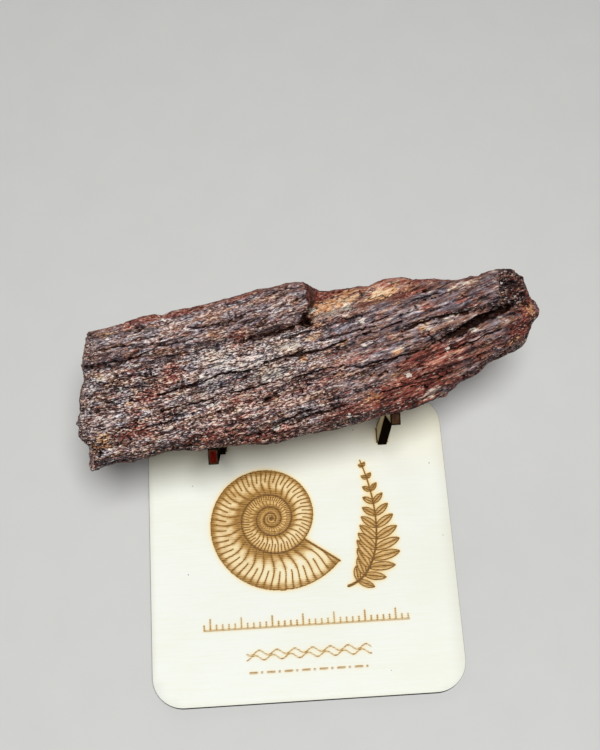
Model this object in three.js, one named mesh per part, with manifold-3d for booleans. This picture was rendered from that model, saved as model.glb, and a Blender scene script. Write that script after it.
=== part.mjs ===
// A slab of fossil dinosaur bone that lies askew on a small plywood display stand.
// Units are millimetres, +Z is up, and the origin is the centre of the plate's underside.
import * as THREE from 'three';
import { mergeVertices } from 'three/addons/utils/BufferGeometryUtils.js';
import Module from 'manifold-3d';

const wasm = await Module();
wasm.setup();

// ---- stand: driving dimensions
const plySheet = 3;          // thickness of the sheet that all three stand pieces are cut from
const plateSide = 100;
const plateCorner = 10;      // corner radius of the plate
const footFront = 33;        // front of both arms' feet, measured to the rear from the plate's centre
const footDepth = 7;
const tenonDepth = 4.6;
const tenonLength = 2.8;     // a little short of the sheet, so that the plate alone touches the table
const slotClearance = 0.2;
const leftArmX = -25.2;
const rightArmX = 29.6;
const seatHeight = 42.6;     // from the plate's top to the inner corner of each cradle
const lipHeight = 12;
const lipDepth = 4.7;
const restLength = 27;
const cradleDepth = 5.4;     // material under the rest and below the lip
const waistHeight = 0.55;    // share of the stem's height at which it is narrowest
const waistWidth = 5.2;
const restGap = 0.35;        // air between the bone and the cradles

// ---- bone: driving dimensions
const boneYaw = THREE.MathUtils.degToRad(9.27);   // turn about the vertical
const boneTilt = THREE.MathUtils.degToRad(28);    // lean of its back against the rests
const boneSeatY = 27.9;      // where the bone's lower back edge crosses the plate's middle line
const faceHeight = 21;       // from the flat back to the front face
const faceInset = 1.2;       // how far the front face stops short of the outline
const backInset = 2.4;
const backHeight = 0.8;
const terraceDrop = 6;       // from the front face down to the sandy ledge
const endDrop = 4.6;         // down to the broken block at the narrow end
const creviceDepth = 3.6;

// Outline of the bone in its own plane: x runs along the bone, y up its face.
const lowerEdge = [
  [-62.3, 1], [-54.2, 2.1], [-50, 1.4], [-38.5, 2.1], [-30.3, 0.4], [-22, 0.1], [-8, -2.3], [0, -1.6],
  [11, -2.2], [22, -1], [30, -1.2], [38.4, -0.3], [45.2, 0.8], [49.7, 3.3], [55, 4.8], [59.2, 7.4],
  [65, 8.7], [69.5, 9.8], [71.6, 11.2], [73, 14.3], [75.5, 17.8],
];
const upperEdge = [
  [-54.4, 41], [-47.7, 41.1], [-39.5, 42.2], [-34.5, 42.1], [-33, 41.4], [-29.6, 42.2], [-19.6, 42.1],
  [-14, 42.6], [5.3, 43.2], [9.2, 42.6], [13.8, 38.9], [16.5, 38.4], [28.4, 37.5], [33, 38.6],
  [38.5, 38.1], [40, 37.3], [52.7, 34.4], [60.6, 34.2], [62.6, 35], [70.6, 34.2], [74.2, 31],
  [75.5, 24.2],
];
const leftEdge = [
  [-62.3, 1], [-62.4, 2.5], [-61.2, 8.9], [-63.6, 12.1], [-62.9, 14.4], [-63.3, 16], [-61.7, 18.6],
  [-61, 22.9], [-58.4, 28], [-58.2, 31.8], [-55.2, 39.5], [-54.4, 41],
];

// Straight lines across the face that the columns of the surface follow: each is given by where
// it meets the lower and the upper edge. The second is the break in the upper edge, and the third
// is where the block at the narrow end begins.
const ribs = [[-62.3, -54.4], [3, 8.8], [59.9, 64.8], [75.5, 75.5]];
const columnCounts = [34, 29, 7];
const rowCount = 22;
const breakGap = 0.5;        // from a break's upper rim to the column at its foot
const noseBulge = 1.7;       // how far the narrow end stands out past its last column

// Lines on the front face.
const mainCrevice = [[41, 17.4], [49, 18.8], [57, 21], [68, 23.4]];
const thinCrevice = [[34, 23.6], [46, 24.6], [63, 25]];
const upperGroove = [[-60, 31.2], [-45, 31], [-40, 33.6], [-28, 34.2], [-8, 37]];
const breakGroove = [[-14, 29.6], [-6, 29.5], [1, 30.1], [8, 31.4]];
const middleGroove = [[-6, 27.3], [10, 28.2], [24, 29.6]];
const terraceLine = [[6, 31.6], [20, 32.7], [34, 32.4], [44, 32.7], [53, 34.2]];

// ---- small helpers
const mix = (a, b, k) => a + (b - a) * k;
const clamp01 = (x) => Math.min(1, Math.max(0, x));

function smooth(x) {
  const k = clamp01(x);
  return k * k * (3 - 2 * k);
}

// A smooth random value from -1 to 1 that is always the same at the same place.
function latticeValue(i, j, seed) {
  const s = Math.sin(i * 127.1 + j * 311.7 + seed * 74.7) * 43758.5453;
  return 2 * (s - Math.floor(s)) - 1;
}

function noise(x, y, seed) {
  const i = Math.floor(x);
  const j = Math.floor(y);
  const kx = smooth(x - i);
  const ky = smooth(y - j);
  const low = mix(latticeValue(i, j, seed), latticeValue(i + 1, j, seed), kx);
  const high = mix(latticeValue(i, j + 1, seed), latticeValue(i + 1, j + 1, seed), kx);
  return mix(low, high, ky);
}

// The point of a line of points where coordinate `axis` has the given value.
function pointAt(line, axis, value) {
  let k = 1;
  while (k < line.length - 1 && line[k][axis] < value) k += 1;
  const [start, end] = [line[k - 1], line[k]];
  const share = clamp01((value - start[axis]) / (end[axis] - start[axis]));
  return [mix(start[0], end[0], share), mix(start[1], end[1], share)];
}

// Depth of a groove along a line: full on the line, fading over `width` and at both ends.
function groove(line, u, v, width) {
  const first = line[0][0];
  const last = line[line.length - 1][0];
  const off = (v - pointAt(line, 0, u)[1]) / width;
  const ends = smooth((u - first) / 5 + 0.5) * smooth((last - u) / 5 + 0.5);
  return Math.exp(-off * off) * ends;
}

// ---- bone surface
// The fibres run along the bone and climb more steeply towards its narrow end.
const acrossGrain = (u, v) => v - 0.09 * u - 0.00085 * u * u;

// Where a rib crosses height v of the face.
function ribLine([lowerU, upperU], v) {
  const low = pointAt(lowerEdge, 0, lowerU)[1];
  const high = pointAt(upperEdge, 0, upperU)[1];
  return mix(lowerU, upperU, (v - low) / (high - low));
}

// A point of the face: the column is given by where it meets the lower and upper edge, s is its
// share of the length, and t is the share of the way from the lower edge to the upper.
function facePoint([lowerU, upperU], s, t) {
  const low = pointAt(lowerEdge, 0, lowerU);
  const high = pointAt(upperEdge, 0, upperU);
  const straightU = mix(leftEdge[0][0], leftEdge.at(-1)[0], t);
  const edgeU = pointAt(leftEdge, 1, mix(leftEdge[0][1], leftEdge.at(-1)[1], t))[0];
  const bulge = (edgeU - straightU) * (1 - s) ** 8 + noseBulge * 4 * t * (1 - t) * s ** 30;
  return [mix(low[0], high[0], t) + bulge, mix(low[1], high[1], t)];
}

// Height of the front face over the flat back.
function frontHeight(u, v) {
  const g = acrossGrain(u, v);
  const breakWidth = breakGap + 5 * smooth((v - 31) / 8);
  const pastBreak = smooth((u - ribLine(ribs[1], v)) / breakWidth);
  const pastEnd = smooth((u - ribLine(ribs[2], v)) / (2 * breakGap)) * smooth((v - 19.5) / 4);
  const overTerrace = smooth((v - pointAt(terraceLine, 0, u)[1]) / 1.6 + 0.5);
  let w = faceHeight;
  w -= 0.0034 * (v - 25) ** 2;
  w -= 1.6 * smooth((-34 - u) / 30);
  w += 1.2 * smooth((v - 30.5) / 2) * (1 - pastBreak);
  w -= mix(terraceDrop, 1.5, smooth((u - 22) / 24)) * pastBreak * overTerrace;
  w -= 0.3 * pastBreak * overTerrace * Math.max(0, v - 34);
  w += 1.7 * smooth((u - 40) / 10) * smooth((v - 24) / 1.5) * (1 - pastEnd);
  w -= (endDrop + 0.2 * Math.max(0, u - 66)) * pastEnd;
  w -= 4.4 * smooth((u - 24) / 34) * smooth((20 - v) / 16);
  w -= 3.4 * smooth((u - 62) / 13) * (1 - pastEnd);
  w -= creviceDepth * groove(mainCrevice, u, v, 1.3) * smooth((u - 38) / 12);
  w -= 1.7 * groove(thinCrevice, u, v, 0.9);
  w -= 1.6 * groove(upperGroove, u, v, 0.9);
  w -= 2.8 * groove(breakGroove, u, v, 1) * smooth((u + 18) / 18);
  w -= groove(middleGroove, u, v, 0.9);
  w += 0.75 * noise(u / 24, g / 3.1, 1);
  w += 0.45 * noise(u / 11, g / 1.9, 2);
  w += 0.6 * noise(u / 10, v / 8, 3);
  return w;
}

// How far a place on the back or the lower side is from the nearer arm.
function armDistance(u, v) {
  const slant = v * Math.sin(boneYaw) * Math.cos(boneTilt);
  const places = [leftArmX, rightArmX].map((armX) => (armX + slant) / Math.cos(boneYaw));
  return Math.min(...places.map((place) => Math.abs(u - place)));
}

// The back is flat where the two arms carry it and uneven between and beyond them.
function backRelief(u, v) {
  const free = smooth((armDistance(u, v) - 2.6) / 5);
  const lumps = 1.5 * noise(u / 19, v / 12, 5) + 0.8 * noise(u / 9, acrossGrain(u, v) / 4, 6);
  return free * (lumps - 0.5);
}

// How far a point of the broken sides is sunk: ledges that follow the layers, and chips.
function sideSink(along, w, seed) {
  const layer = Math.floor(w / 4.3 + 0.8 * noise(along / 26, 0.5, seed));
  const ledge = 0.5 + 0.5 * latticeValue(layer, Math.floor(along / 47), seed + 1);
  const chip = 0.5 + 0.5 * noise(along / 6, w / 5, seed + 2);
  return 1.5 * ledge + 1.1 * chip;
}

// Each column's two ends and its share of the length; a second column stands at the foot of a break.
function columnPlaces() {
  const places = [{ ends: ribs[0], s: 0 }];
  const total = columnCounts.reduce((sum, count) => sum + count, 0);
  let done = 0;
  columnCounts.forEach((count, k) => {
    const offset = k === 0 ? 0 : breakGap;
    const start = ribs[k].map((u) => u + offset);
    if (offset) places.push({ ends: start, s: (done + 0.3) / total });
    for (let n = 1; n <= count; n += 1) {
      const ends = [0, 1].map((side) => mix(start[side], ribs[k + 1][side], n / count));
      places.push({ ends, s: (done + n) / total });
    }
    done += count;
  });
  return places;
}

// From the front face round the edge to the back: how far each ring is in from the outline,
// its share of the height, and how much of the broken sides' sinking it takes.
const sideRings = [
  { inset: faceInset, share: 1, sink: 0 },
  { inset: 0.25, share: 0.93, sink: 0 },
  { inset: -0.1, share: 0.76, sink: 0.12 },
  { inset: 0, share: 0.54, sink: 0.9 },
  { inset: 0.3, share: 0.3, sink: 1 },
  { inset: 1, share: 0.12, sink: 0.6 },
  { inset: backInset, share: 0, sink: 0 },
];

function boneGeometry() {
  const columns = columnPlaces();
  const lastColumn = columns.length - 1;
  const lastRow = rowCount;
  const positions = [];
  const triangles = [];
  const length = upperEdge.at(-1)[0] - leftEdge[0][0];

  // A point `inset` inside the outline, on the line of column i and row j.
  const insetPoint = (i, j, inset) => {
    const { ends, s } = columns[i];
    const height = pointAt(upperEdge, 0, ends[1])[1] - pointAt(lowerEdge, 0, ends[0])[1];
    const margin = Math.min(0.4, inset / height);
    const [u, v] = facePoint(ends, s, mix(margin, 1 - margin, j / lastRow));
    return [u + inset * (1 - 2 * clamp01((u - leftEdge[0][0]) / length)), v];
  };

  // Roundness of the front face's rim.
  const rimDrop = (i, j) => {
    const along = Math.min(i, lastColumn - i) * 1.9;
    const across = Math.min(j, lastRow - j) * 1.8;
    return 1.3 * (1 - smooth(Math.min(along, across) / 2.8));
  };

  const frontPoint = (i, j) => {
    const [u, v] = insetPoint(i, j, faceInset);
    return [u, v, frontHeight(u, v) - rimDrop(i, j)];
  };

  const backPoint = (i, j) => {
    const [u, v] = insetPoint(i, j, backInset);
    const onRim = i === 0 || j === 0 || i === lastColumn || j === lastRow;
    return [u, v, onRim ? backHeight : backRelief(u, v)];
  };

  const sidePoint = (i, j, ring) => {
    const w = mix(backHeight, frontPoint(i, j)[2], ring.share);
    const [u0, v0] = insetPoint(i, j, ring.inset);
    const side = j === 0 ? 10 : j === lastRow ? 20 : 30;
    const along = side === 30 ? v0 : u0;
    const free = side === 10 ? smooth((armDistance(u0, 0) - 3) / 6) : 1;
    const [u, v] = insetPoint(i, j, ring.inset + ring.sink * free * sideSink(along, w, side));
    const carried = side === 10 && free < 1 && w < lipHeight + 2;
    return [u, carried ? mix(Math.max(v, 0), v, free) : v, w];
  };

  const addGrid = (pointOf) => {
    const start = positions.length / 3;
    for (let j = 0; j <= lastRow; j += 1) {
      for (let i = 0; i <= lastColumn; i += 1) positions.push(...pointOf(i, j));
    }
    return (i, j) => start + j * (lastColumn + 1) + i;
  };

  // Two triangles for a square of corners a, b, c, d that runs anticlockwise seen from outside.
  const addSquare = (a, b, c, d) => triangles.push(a, b, c, a, c, d);

  const front = addGrid(frontPoint);
  const back = addGrid(backPoint);
  for (let j = 0; j < lastRow; j += 1) {
    for (let i = 0; i < lastColumn; i += 1) {
      addSquare(front(i, j), front(i + 1, j), front(i + 1, j + 1), front(i, j + 1));
      addSquare(back(i, j), back(i, j + 1), back(i + 1, j + 1), back(i + 1, j));
    }
  }

  // The rim's places in order, anticlockwise seen from the front.
  const rim = [];
  for (let i = 0; i < lastColumn; i += 1) rim.push([i, 0]);
  for (let j = 0; j < lastRow; j += 1) rim.push([lastColumn, j]);
  for (let i = lastColumn; i > 0; i -= 1) rim.push([i, lastRow]);
  for (let j = lastRow; j > 0; j -= 1) rim.push([0, j]);

  const rings = sideRings.map((ring, m) => rim.map(([i, j]) => {
    if (m === 0) return front(i, j);
    if (m === sideRings.length - 1) return back(i, j);
    positions.push(...sidePoint(i, j, ring));
    return positions.length / 3 - 1;
  }));
  for (let m = 0; m < sideRings.length - 1; m += 1) {
    rim.forEach((place, k) => {
      const next = (k + 1) % rim.length;
      addSquare(rings[m + 1][k], rings[m + 1][next], rings[m][next], rings[m][k]);
    });
  }

  const geometry = new THREE.BufferGeometry();
  geometry.setAttribute('position', new THREE.Float32BufferAttribute(positions, 3));
  geometry.setIndex(triangles);
  geometry.computeVertexNormals();
  return geometry;
}

// ---- stand
function roundedSquare(side, corner) {
  const inner = side / 2 - corner;
  const shape = new THREE.Shape();
  const turns = [[1, -1], [1, 1], [-1, 1], [-1, -1]];
  turns.forEach(([signX, signY], k) => {
    const start = (k - 1) * Math.PI / 2;
    shape.absarc(signX * inner, signY * inner, corner, start, start + Math.PI / 2, false);
  });
  return shape;
}

// The solid that a slot takes out of the plate; it runs past both faces.
function slotCutter(centreX) {
  const wide = plySheet + 2 * slotClearance;
  const long = tenonDepth + 2 * slotClearance;
  const cutter = new THREE.BoxGeometry(wide, long, 3 * plySheet);
  return cutter.translate(centreX, footFront + footDepth / 2, plySheet / 2);
}

function toManifold(geometry) {
  const bare = geometry.clone();
  bare.deleteAttribute('normal');
  bare.deleteAttribute('uv');
  const merged = mergeVertices(bare);
  return new wasm.Manifold(new wasm.Mesh({
    numProp: 3,
    vertProperties: new Float32Array(merged.attributes.position.array),
    triVerts: new Uint32Array(merged.index.array),
  }));
}

function fromManifold(solid) {
  const mesh = solid.getMesh();
  const geometry = new THREE.BufferGeometry();
  geometry.setAttribute('position', new THREE.BufferAttribute(mesh.vertProperties, mesh.numProp));
  geometry.setIndex(new THREE.BufferAttribute(mesh.triVerts, 1));
  geometry.computeVertexNormals();
  return geometry;
}

function plateGeometry() {
  const shape = roundedSquare(plateSide, plateCorner);
  const options = { depth: plySheet, bevelEnabled: false, curveSegments: 8 };
  const blank = toManifold(new THREE.ExtrudeGeometry(shape, options));
  const slots = [leftArmX, rightArmX].map((armX) => toManifold(slotCutter(armX)));
  return fromManifold(slots.reduce((solid, cutter) => solid.subtract(cutter), blank));
}

// Side view of an arm: x is the plate's front-to-rear direction, y is height over the plate's top.
function armProfile(armX) {
  const restSlope = Math.atan(Math.tan(boneTilt) * Math.cos(boneYaw));
  const lipLean = Math.atan(Math.tan(boneTilt) / Math.cos(boneYaw));
  const seatY = boneSeatY + armX * Math.tan(boneYaw);
  const cradle = (alongRest, alongLip) => new THREE.Vector2(
    seatY + alongRest * Math.cos(restSlope) - alongLip * Math.sin(lipLean),
    seatHeight + alongRest * Math.sin(restSlope) + alongLip * Math.cos(lipLean),
  );
  const lipFoot = cradle(-restGap - lipDepth, -cradleDepth);
  const lipOuter = cradle(-restGap - lipDepth, lipHeight);
  const lipInner = cradle(-restGap, lipHeight);
  const seatCorner = cradle(-restGap, -restGap);
  const restEnd = cradle(restLength, -restGap);
  const restNose = cradle(restLength + 2.6, -restGap - cradleDepth / 2);
  const restUnder = cradle(restLength, -restGap - cradleDepth);
  const bracketEnd = cradle(restLength * 0.62, -restGap - cradleDepth);
  const waistX = mix(footFront, lipFoot.x, waistHeight) + waistWidth;
  const waistY = mix(0, lipFoot.y, waistHeight);
  const tenonFront = footFront + (footDepth - tenonDepth) / 2;

  const shape = new THREE.Shape();
  shape.moveTo(footFront, 0);
  shape.lineTo(tenonFront, 0);
  shape.lineTo(tenonFront, -tenonLength);
  shape.lineTo(tenonFront + tenonDepth, -tenonLength);
  shape.lineTo(tenonFront + tenonDepth, 0);
  shape.lineTo(footFront + footDepth, 0);
  shape.lineTo(waistX, waistY);
  shape.quadraticCurveTo(waistX - 1, waistY + 12, bracketEnd.x, bracketEnd.y);
  shape.lineTo(restUnder.x, restUnder.y);
  shape.quadraticCurveTo(restNose.x, restNose.y, restEnd.x, restEnd.y);
  shape.lineTo(seatCorner.x, seatCorner.y);
  shape.lineTo(lipInner.x, lipInner.y);
  shape.lineTo(lipOuter.x, lipOuter.y);
  shape.lineTo(lipFoot.x, lipFoot.y);
  shape.closePath();
  return shape;
}

// The profile is drawn in x and y and extruded along z; this turns it to stand upright, facing along X.
const uprightTurn = new THREE.Matrix4().makeBasis(
  new THREE.Vector3(0, 1, 0),
  new THREE.Vector3(0, 0, 1),
  new THREE.Vector3(1, 0, 0),
);

function armGeometry(armX) {
  const options = { depth: plySheet, bevelEnabled: false, curveSegments: 8 };
  return new THREE.ExtrudeGeometry(armProfile(armX), options).applyMatrix4(uprightTurn);
}

// ---- assembly
const plyMaterial = new THREE.MeshStandardMaterial({ color: 0xe9dfc2, roughness: 0.72, metalness: 0 });
const armMaterial = new THREE.MeshStandardMaterial({ color: 0xd9c39a, roughness: 0.72, metalness: 0 });
const boneMaterial = new THREE.MeshStandardMaterial({ color: 0x5b4440, roughness: 0.8, metalness: 0 });

const object = new THREE.Group();

const plate = new THREE.Mesh(plateGeometry(), plyMaterial);
plate.name = 'base_plate';
object.add(plate);

[['left_arm', leftArmX], ['right_arm', rightArmX]].forEach(([name, armX]) => {
  const arm = new THREE.Mesh(armGeometry(armX), armMaterial);
  arm.name = name;
  arm.position.set(armX - plySheet / 2, 0, plySheet);
  object.add(arm);
});

// The bone turns about the vertical first and then leans back on the arms.
const boneTurn = new THREE.Group();
boneTurn.position.set(0, boneSeatY, plySheet + seatHeight);
boneTurn.rotation.z = boneYaw;
const boneLean = new THREE.Group();
boneLean.rotation.x = boneTilt;
const bone = new THREE.Mesh(boneGeometry(), boneMaterial);
bone.name = 'fossil_bone';
boneLean.add(bone);
boneTurn.add(boneLean);
object.add(boneTurn);

export default object;
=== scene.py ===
import math
from types import SimpleNamespace

import bmesh
import bpy
import numpy as np
from mathutils import Matrix, Vector
from mathutils.geometry import delaunay_2d_cdt


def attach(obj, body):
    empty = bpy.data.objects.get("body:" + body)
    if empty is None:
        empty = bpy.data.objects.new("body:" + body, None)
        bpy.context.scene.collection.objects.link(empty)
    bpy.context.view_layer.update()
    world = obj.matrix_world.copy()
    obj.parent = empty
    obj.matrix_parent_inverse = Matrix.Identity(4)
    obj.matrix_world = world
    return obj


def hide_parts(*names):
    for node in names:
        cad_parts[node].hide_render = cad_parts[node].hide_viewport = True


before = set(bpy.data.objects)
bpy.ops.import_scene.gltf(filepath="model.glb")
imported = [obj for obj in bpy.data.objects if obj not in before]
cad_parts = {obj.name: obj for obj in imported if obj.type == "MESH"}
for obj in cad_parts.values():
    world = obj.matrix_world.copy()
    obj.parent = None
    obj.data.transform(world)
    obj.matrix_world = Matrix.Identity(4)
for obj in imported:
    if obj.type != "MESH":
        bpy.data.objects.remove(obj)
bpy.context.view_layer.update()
scene = bpy.context.scene
mm = 0.001    # the shapes below are in millimetres


def report(words):
    print("fossil:", words)


def mix(a, b, k):
    return a + (b - a) * k


def smooth(x):
    k = np.clip(x, 0, 1)
    return k * k * (3 - 2 * k)


# uneven numbers that scatter the values of chance: others give another bone
scatter = (127.1, 311.7, 74.7, 19.19)
scatterScale = 43758.5453


# A random share from 0 to 1 that is always the same for the same whole numbers.
def chance(*numbers):
    s = np.sin(sum(number * turn for number, turn in zip(numbers, scatter))) * scatterScale
    return s - np.floor(s)


def latticeValue(i, j, seed):
    return 2 * chance(i, j, seed) - 1


# Soft lumps in two dimensions, from -1 to 1, the same as those of the solid.
def lumps(x, y, seed):
    i, j = np.floor(x), np.floor(y)
    kx, ky = smooth(x - i), smooth(y - j)
    low = mix(latticeValue(i, j, seed), latticeValue(i + 1, j, seed), kx)
    high = mix(latticeValue(i, j + 1, seed), latticeValue(i + 1, j + 1, seed), kx)
    return mix(low, high, ky)


# Soft noise in three dimensions, from about -1 to 1. place is three arrays.
def cloud(place, seed):
    cell = [np.floor(a) for a in place]
    part = [a - c for a, c in zip(place, cell)]
    fade = [a * a * a * (a * (a * 6 - 15) + 10) for a in part]
    total = 0
    for corner in range(8):
        step = [corner & 1, corner >> 1 & 1, corner >> 2]
        at = [c + s for c, s in zip(cell, step)]
        weight = 1
        slope = 0
        for axis in range(3):
            weight = weight * (fade[axis] if step[axis] else 1 - fade[axis])
            lean = 2 * chance(*at, seed + 7 * axis) - 1
            slope = slope + lean * (part[axis] - step[axis])
        total = total + weight * slope
    return 1.6 * total


# Round grains scattered one to a cell: 1 in the middle of a grain, 0 between grains.
def grains(place, size, share, seed):
    cell = [np.floor(a) for a in place]
    best = np.zeros_like(place[0])
    for corner in range(27):
        step = [corner % 3 - 1, corner // 3 % 3 - 1, corner // 9 - 1]
        at = [c + s for c, s in zip(cell, step)]
        gap = 0
        for axis in range(3):
            middle = at[axis] + 0.2 + 0.6 * chance(*at, seed + axis)
            gap = gap + (place[axis] - middle) ** 2
        radius = size * (0.45 + 0.55 * chance(*at, seed + 3))
        there = chance(*at, seed + 4) < share
        best = np.maximum(best, there * smooth(1.4 * (1 - np.sqrt(gap) / radius)))
    return best


# The other coordinate of a line of points where coordinate axis has the given value.
def alongLine(line, value, axis=0):
    points = np.array(line, float)
    return np.interp(value, points[:, axis], points[:, 1 - axis])


# Distance from points to a segment, and the share of the way along it.
def segmentDistance(x, y, start, end):
    dx, dy = end[0] - start[0], end[1] - start[1]
    k = np.clip(((x - start[0]) * dx + (y - start[1]) * dy) / (dx * dx + dy * dy), 0, 1)
    return np.hypot(x - start[0] - k * dx, y - start[1] - k * dy), k


# A mesh from points in millimetres; each layer is a number or a vector for every point.
def buildMesh(name, points, quads, triangles, layers):
    mesh = bpy.data.meshes.new(name)
    quads = np.asarray(quads, np.int32).reshape(-1, 4)
    triangles = np.asarray(triangles, np.int32).reshape(-1, 3)
    corners = np.concatenate([quads.ravel(), triangles.ravel()])
    triangleStarts = quads.size + 3 * np.arange(len(triangles))
    starts = np.concatenate([4 * np.arange(len(quads)), triangleStarts])
    mesh.vertices.add(len(points))
    mesh.vertices.foreach_set("co", (np.asarray(points) * mm).astype(np.float32).ravel())
    mesh.loops.add(len(corners))
    mesh.loops.foreach_set("vertex_index", corners.astype(np.int32))
    mesh.polygons.add(len(starts))
    mesh.polygons.foreach_set("loop_start", starts.astype(np.int32))
    mesh.update(calc_edges=True)
    for layer, values in layers.items():
        values = np.asarray(values, np.float32)
        kind, key = ("FLOAT", "value") if values.ndim == 1 else ("FLOAT_VECTOR", "vector")
        attribute = mesh.attributes.new(layer, kind, "POINT")
        attribute.data.foreach_set(key, values.ravel())
    mesh.validate()
    mesh.shade_smooth()
    return mesh


# Puts a finished mesh in the scene in place of its CAD node.
def standFor(mesh, node, material):
    piece = bpy.data.objects.new(mesh.name, mesh)
    scene.collection.objects.link(piece)
    mesh.materials.append(material)
    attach(piece, "root")
    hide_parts(node)
    report(f"{mesh.name} has {sum(len(p.vertices) - 2 for p in mesh.polygons)} triangles")


# A colour given as the 0 to 255 numbers of a colour picker.
def paint(red, green, blue):
    def linear(value):
        share = value / 255
        return share / 12.92 if share <= 0.04045 else ((share + 0.055) / 1.055) ** 2.4
    return (linear(red), linear(green), linear(blue), 1)


def isSocket(value):
    return isinstance(value, bpy.types.NodeSocket)


# Adds a shader node to the material that its inputs come from. An input is a socket or a plain value.
def addNode(kind, inputs, tree=None, **settings):
    tree = tree or next(value.id_data for value in inputs.values() if isSocket(value))
    node = tree.nodes.new("ShaderNode" + kind)
    for key, value in settings.items():
        setattr(node, key, value)
    for key, value in inputs.items():
        if isSocket(value):
            tree.links.new(value, node.inputs[key])
        else:
            node.inputs[key].default_value = value
    return node


def layerOf(tree, name, output="Fac"):
    return addNode("Attribute", {}, tree, attribute_name=name).outputs[output]


def plus(first, second):
    return addNode("Math", {0: first, 1: second}, operation="ADD").outputs[0]


def minus(first, second):
    return addNode("Math", {0: first, 1: second}, operation="SUBTRACT").outputs[0]


def times(first, second):
    return addNode("Math", {0: first, 1: second}, operation="MULTIPLY").outputs[0]


# total, and each noise's distance from its middle times its weight
def weighed(total, *parts):
    for noise, weight in parts:
        inputs = {0: noise, 1: weight, 2: -0.5 * weight}
        offset = addNode("Math", inputs, operation="MULTIPLY_ADD").outputs[0]
        total = plus(offset, total)
    return total


# value stretched so that low gives 0 and high gives 1, with soft ends
def between(value, low, high):
    inputs = {"Value": value, "From Min": low, "From Max": high}
    return addNode("MapRange", inputs, interpolation_type="SMOOTHSTEP").outputs[0]


def stretched(vector, scale):
    return addNode("Mapping", {"Vector": vector, "Scale": scale}).outputs[0]


def noiseOf(vector, detail=3, rough=0.6, warp=0.0, scale=1.0):
    inputs = {"Vector": vector, "Scale": scale, "Detail": detail, "Roughness": rough, "Distortion": warp}
    return addNode("TexNoise", inputs).outputs[0]


# Cells of uneven outline: place stretched by scale and pushed about by a noise of colours.
def cellsOf(place, scale, joltScale, jolt):
    push = addNode("TexNoise", {"Vector": place, "Scale": joltScale}).outputs["Color"]
    push = addNode("VectorMath", {0: push, 1: jolt}, operation="MULTIPLY").outputs[0]
    moved = addNode("VectorMath", {0: stretched(place, scale), 1: push}, operation="ADD").outputs[0]
    cells = addNode("TexVoronoi", {"Vector": moved, "Scale": 1.0})
    parts = addNode("SeparateColor", {"Color": cells.outputs["Color"]})
    return cells.outputs["Distance"], parts.outputs


def rampOf(value, stops):
    node = addNode("ValToRGB", {"Fac": value})
    bar = node.color_ramp.elements
    while len(bar) < len(stops):
        bar.new(0.5)
    for element, (place, colour) in zip(bar, stops):
        element.position = place
        element.color = paint(*colour)
    return node.outputs[0]


# under where share is 0, over where it is 1; strength is the most that over may cover
def tint(share, under, over, strength=1):
    share = share if strength == 1 else times(share, strength)
    return addNode("Mix", {0: share, 6: under, 7: over}, data_type="RGBA").outputs[2]


def startMaterial(name):
    material = bpy.data.materials.new(name)
    material.use_nodes = True
    material.node_tree.nodes.clear()
    return material, material.node_tree


def roughnessOf(noise, low, high, smoothest, roughest):
    inputs = {"Value": noise, "From Min": low, "From Max": high, "To Min": smoothest, "To Max": roughest}
    return addNode("MapRange", inputs).outputs[0]


def finishMaterial(colour, roughness, height, bumpDepth, bumpStrength, specular):
    bump = addNode("Bump", {"Height": height, "Distance": bumpDepth * mm, "Strength": bumpStrength})
    inputs = {"Base Color": colour, "Roughness": roughness, "Normal": bump.outputs[0]}
    shader = addNode("BsdfPrincipled", inputs | {"Specular IOR Level": specular})
    addNode("OutputMaterial", {"Surface": shader.outputs[0]})


view = {
    "place": (-6.39, -94.2, 398.85),
    "pitchDown": 68.65,      # degrees below the horizon
    "heading": 3.57,         # degrees to the right of the rear
    "lens": 58.56,
    "sensor": 36,
    "nearest": 0.01,         # metres
    "furthest": 20,
}


def addCamera():
    pitch = math.radians(view["pitchDown"])
    heading = math.radians(view["heading"])
    right = Vector((math.cos(heading), -math.sin(heading), 0))
    level = math.cos(pitch)
    ahead = Vector((math.sin(heading) * level, math.cos(heading) * level, -math.sin(pitch)))
    data = bpy.data.cameras.new("camera")
    data.lens = view["lens"]
    data.sensor_width = view["sensor"]
    data.clip_start = view["nearest"]
    data.clip_end = view["furthest"]
    camera = bpy.data.objects.new("camera", data)
    scene.collection.objects.link(camera)
    turn = Matrix((right, right.cross(ahead), -ahead)).transposed().to_4x4()
    camera.matrix_world = Matrix.Translation(Vector(view["place"]) * mm) @ turn
    scene.camera = camera
    report("camera is in place")


addCamera()

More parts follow.
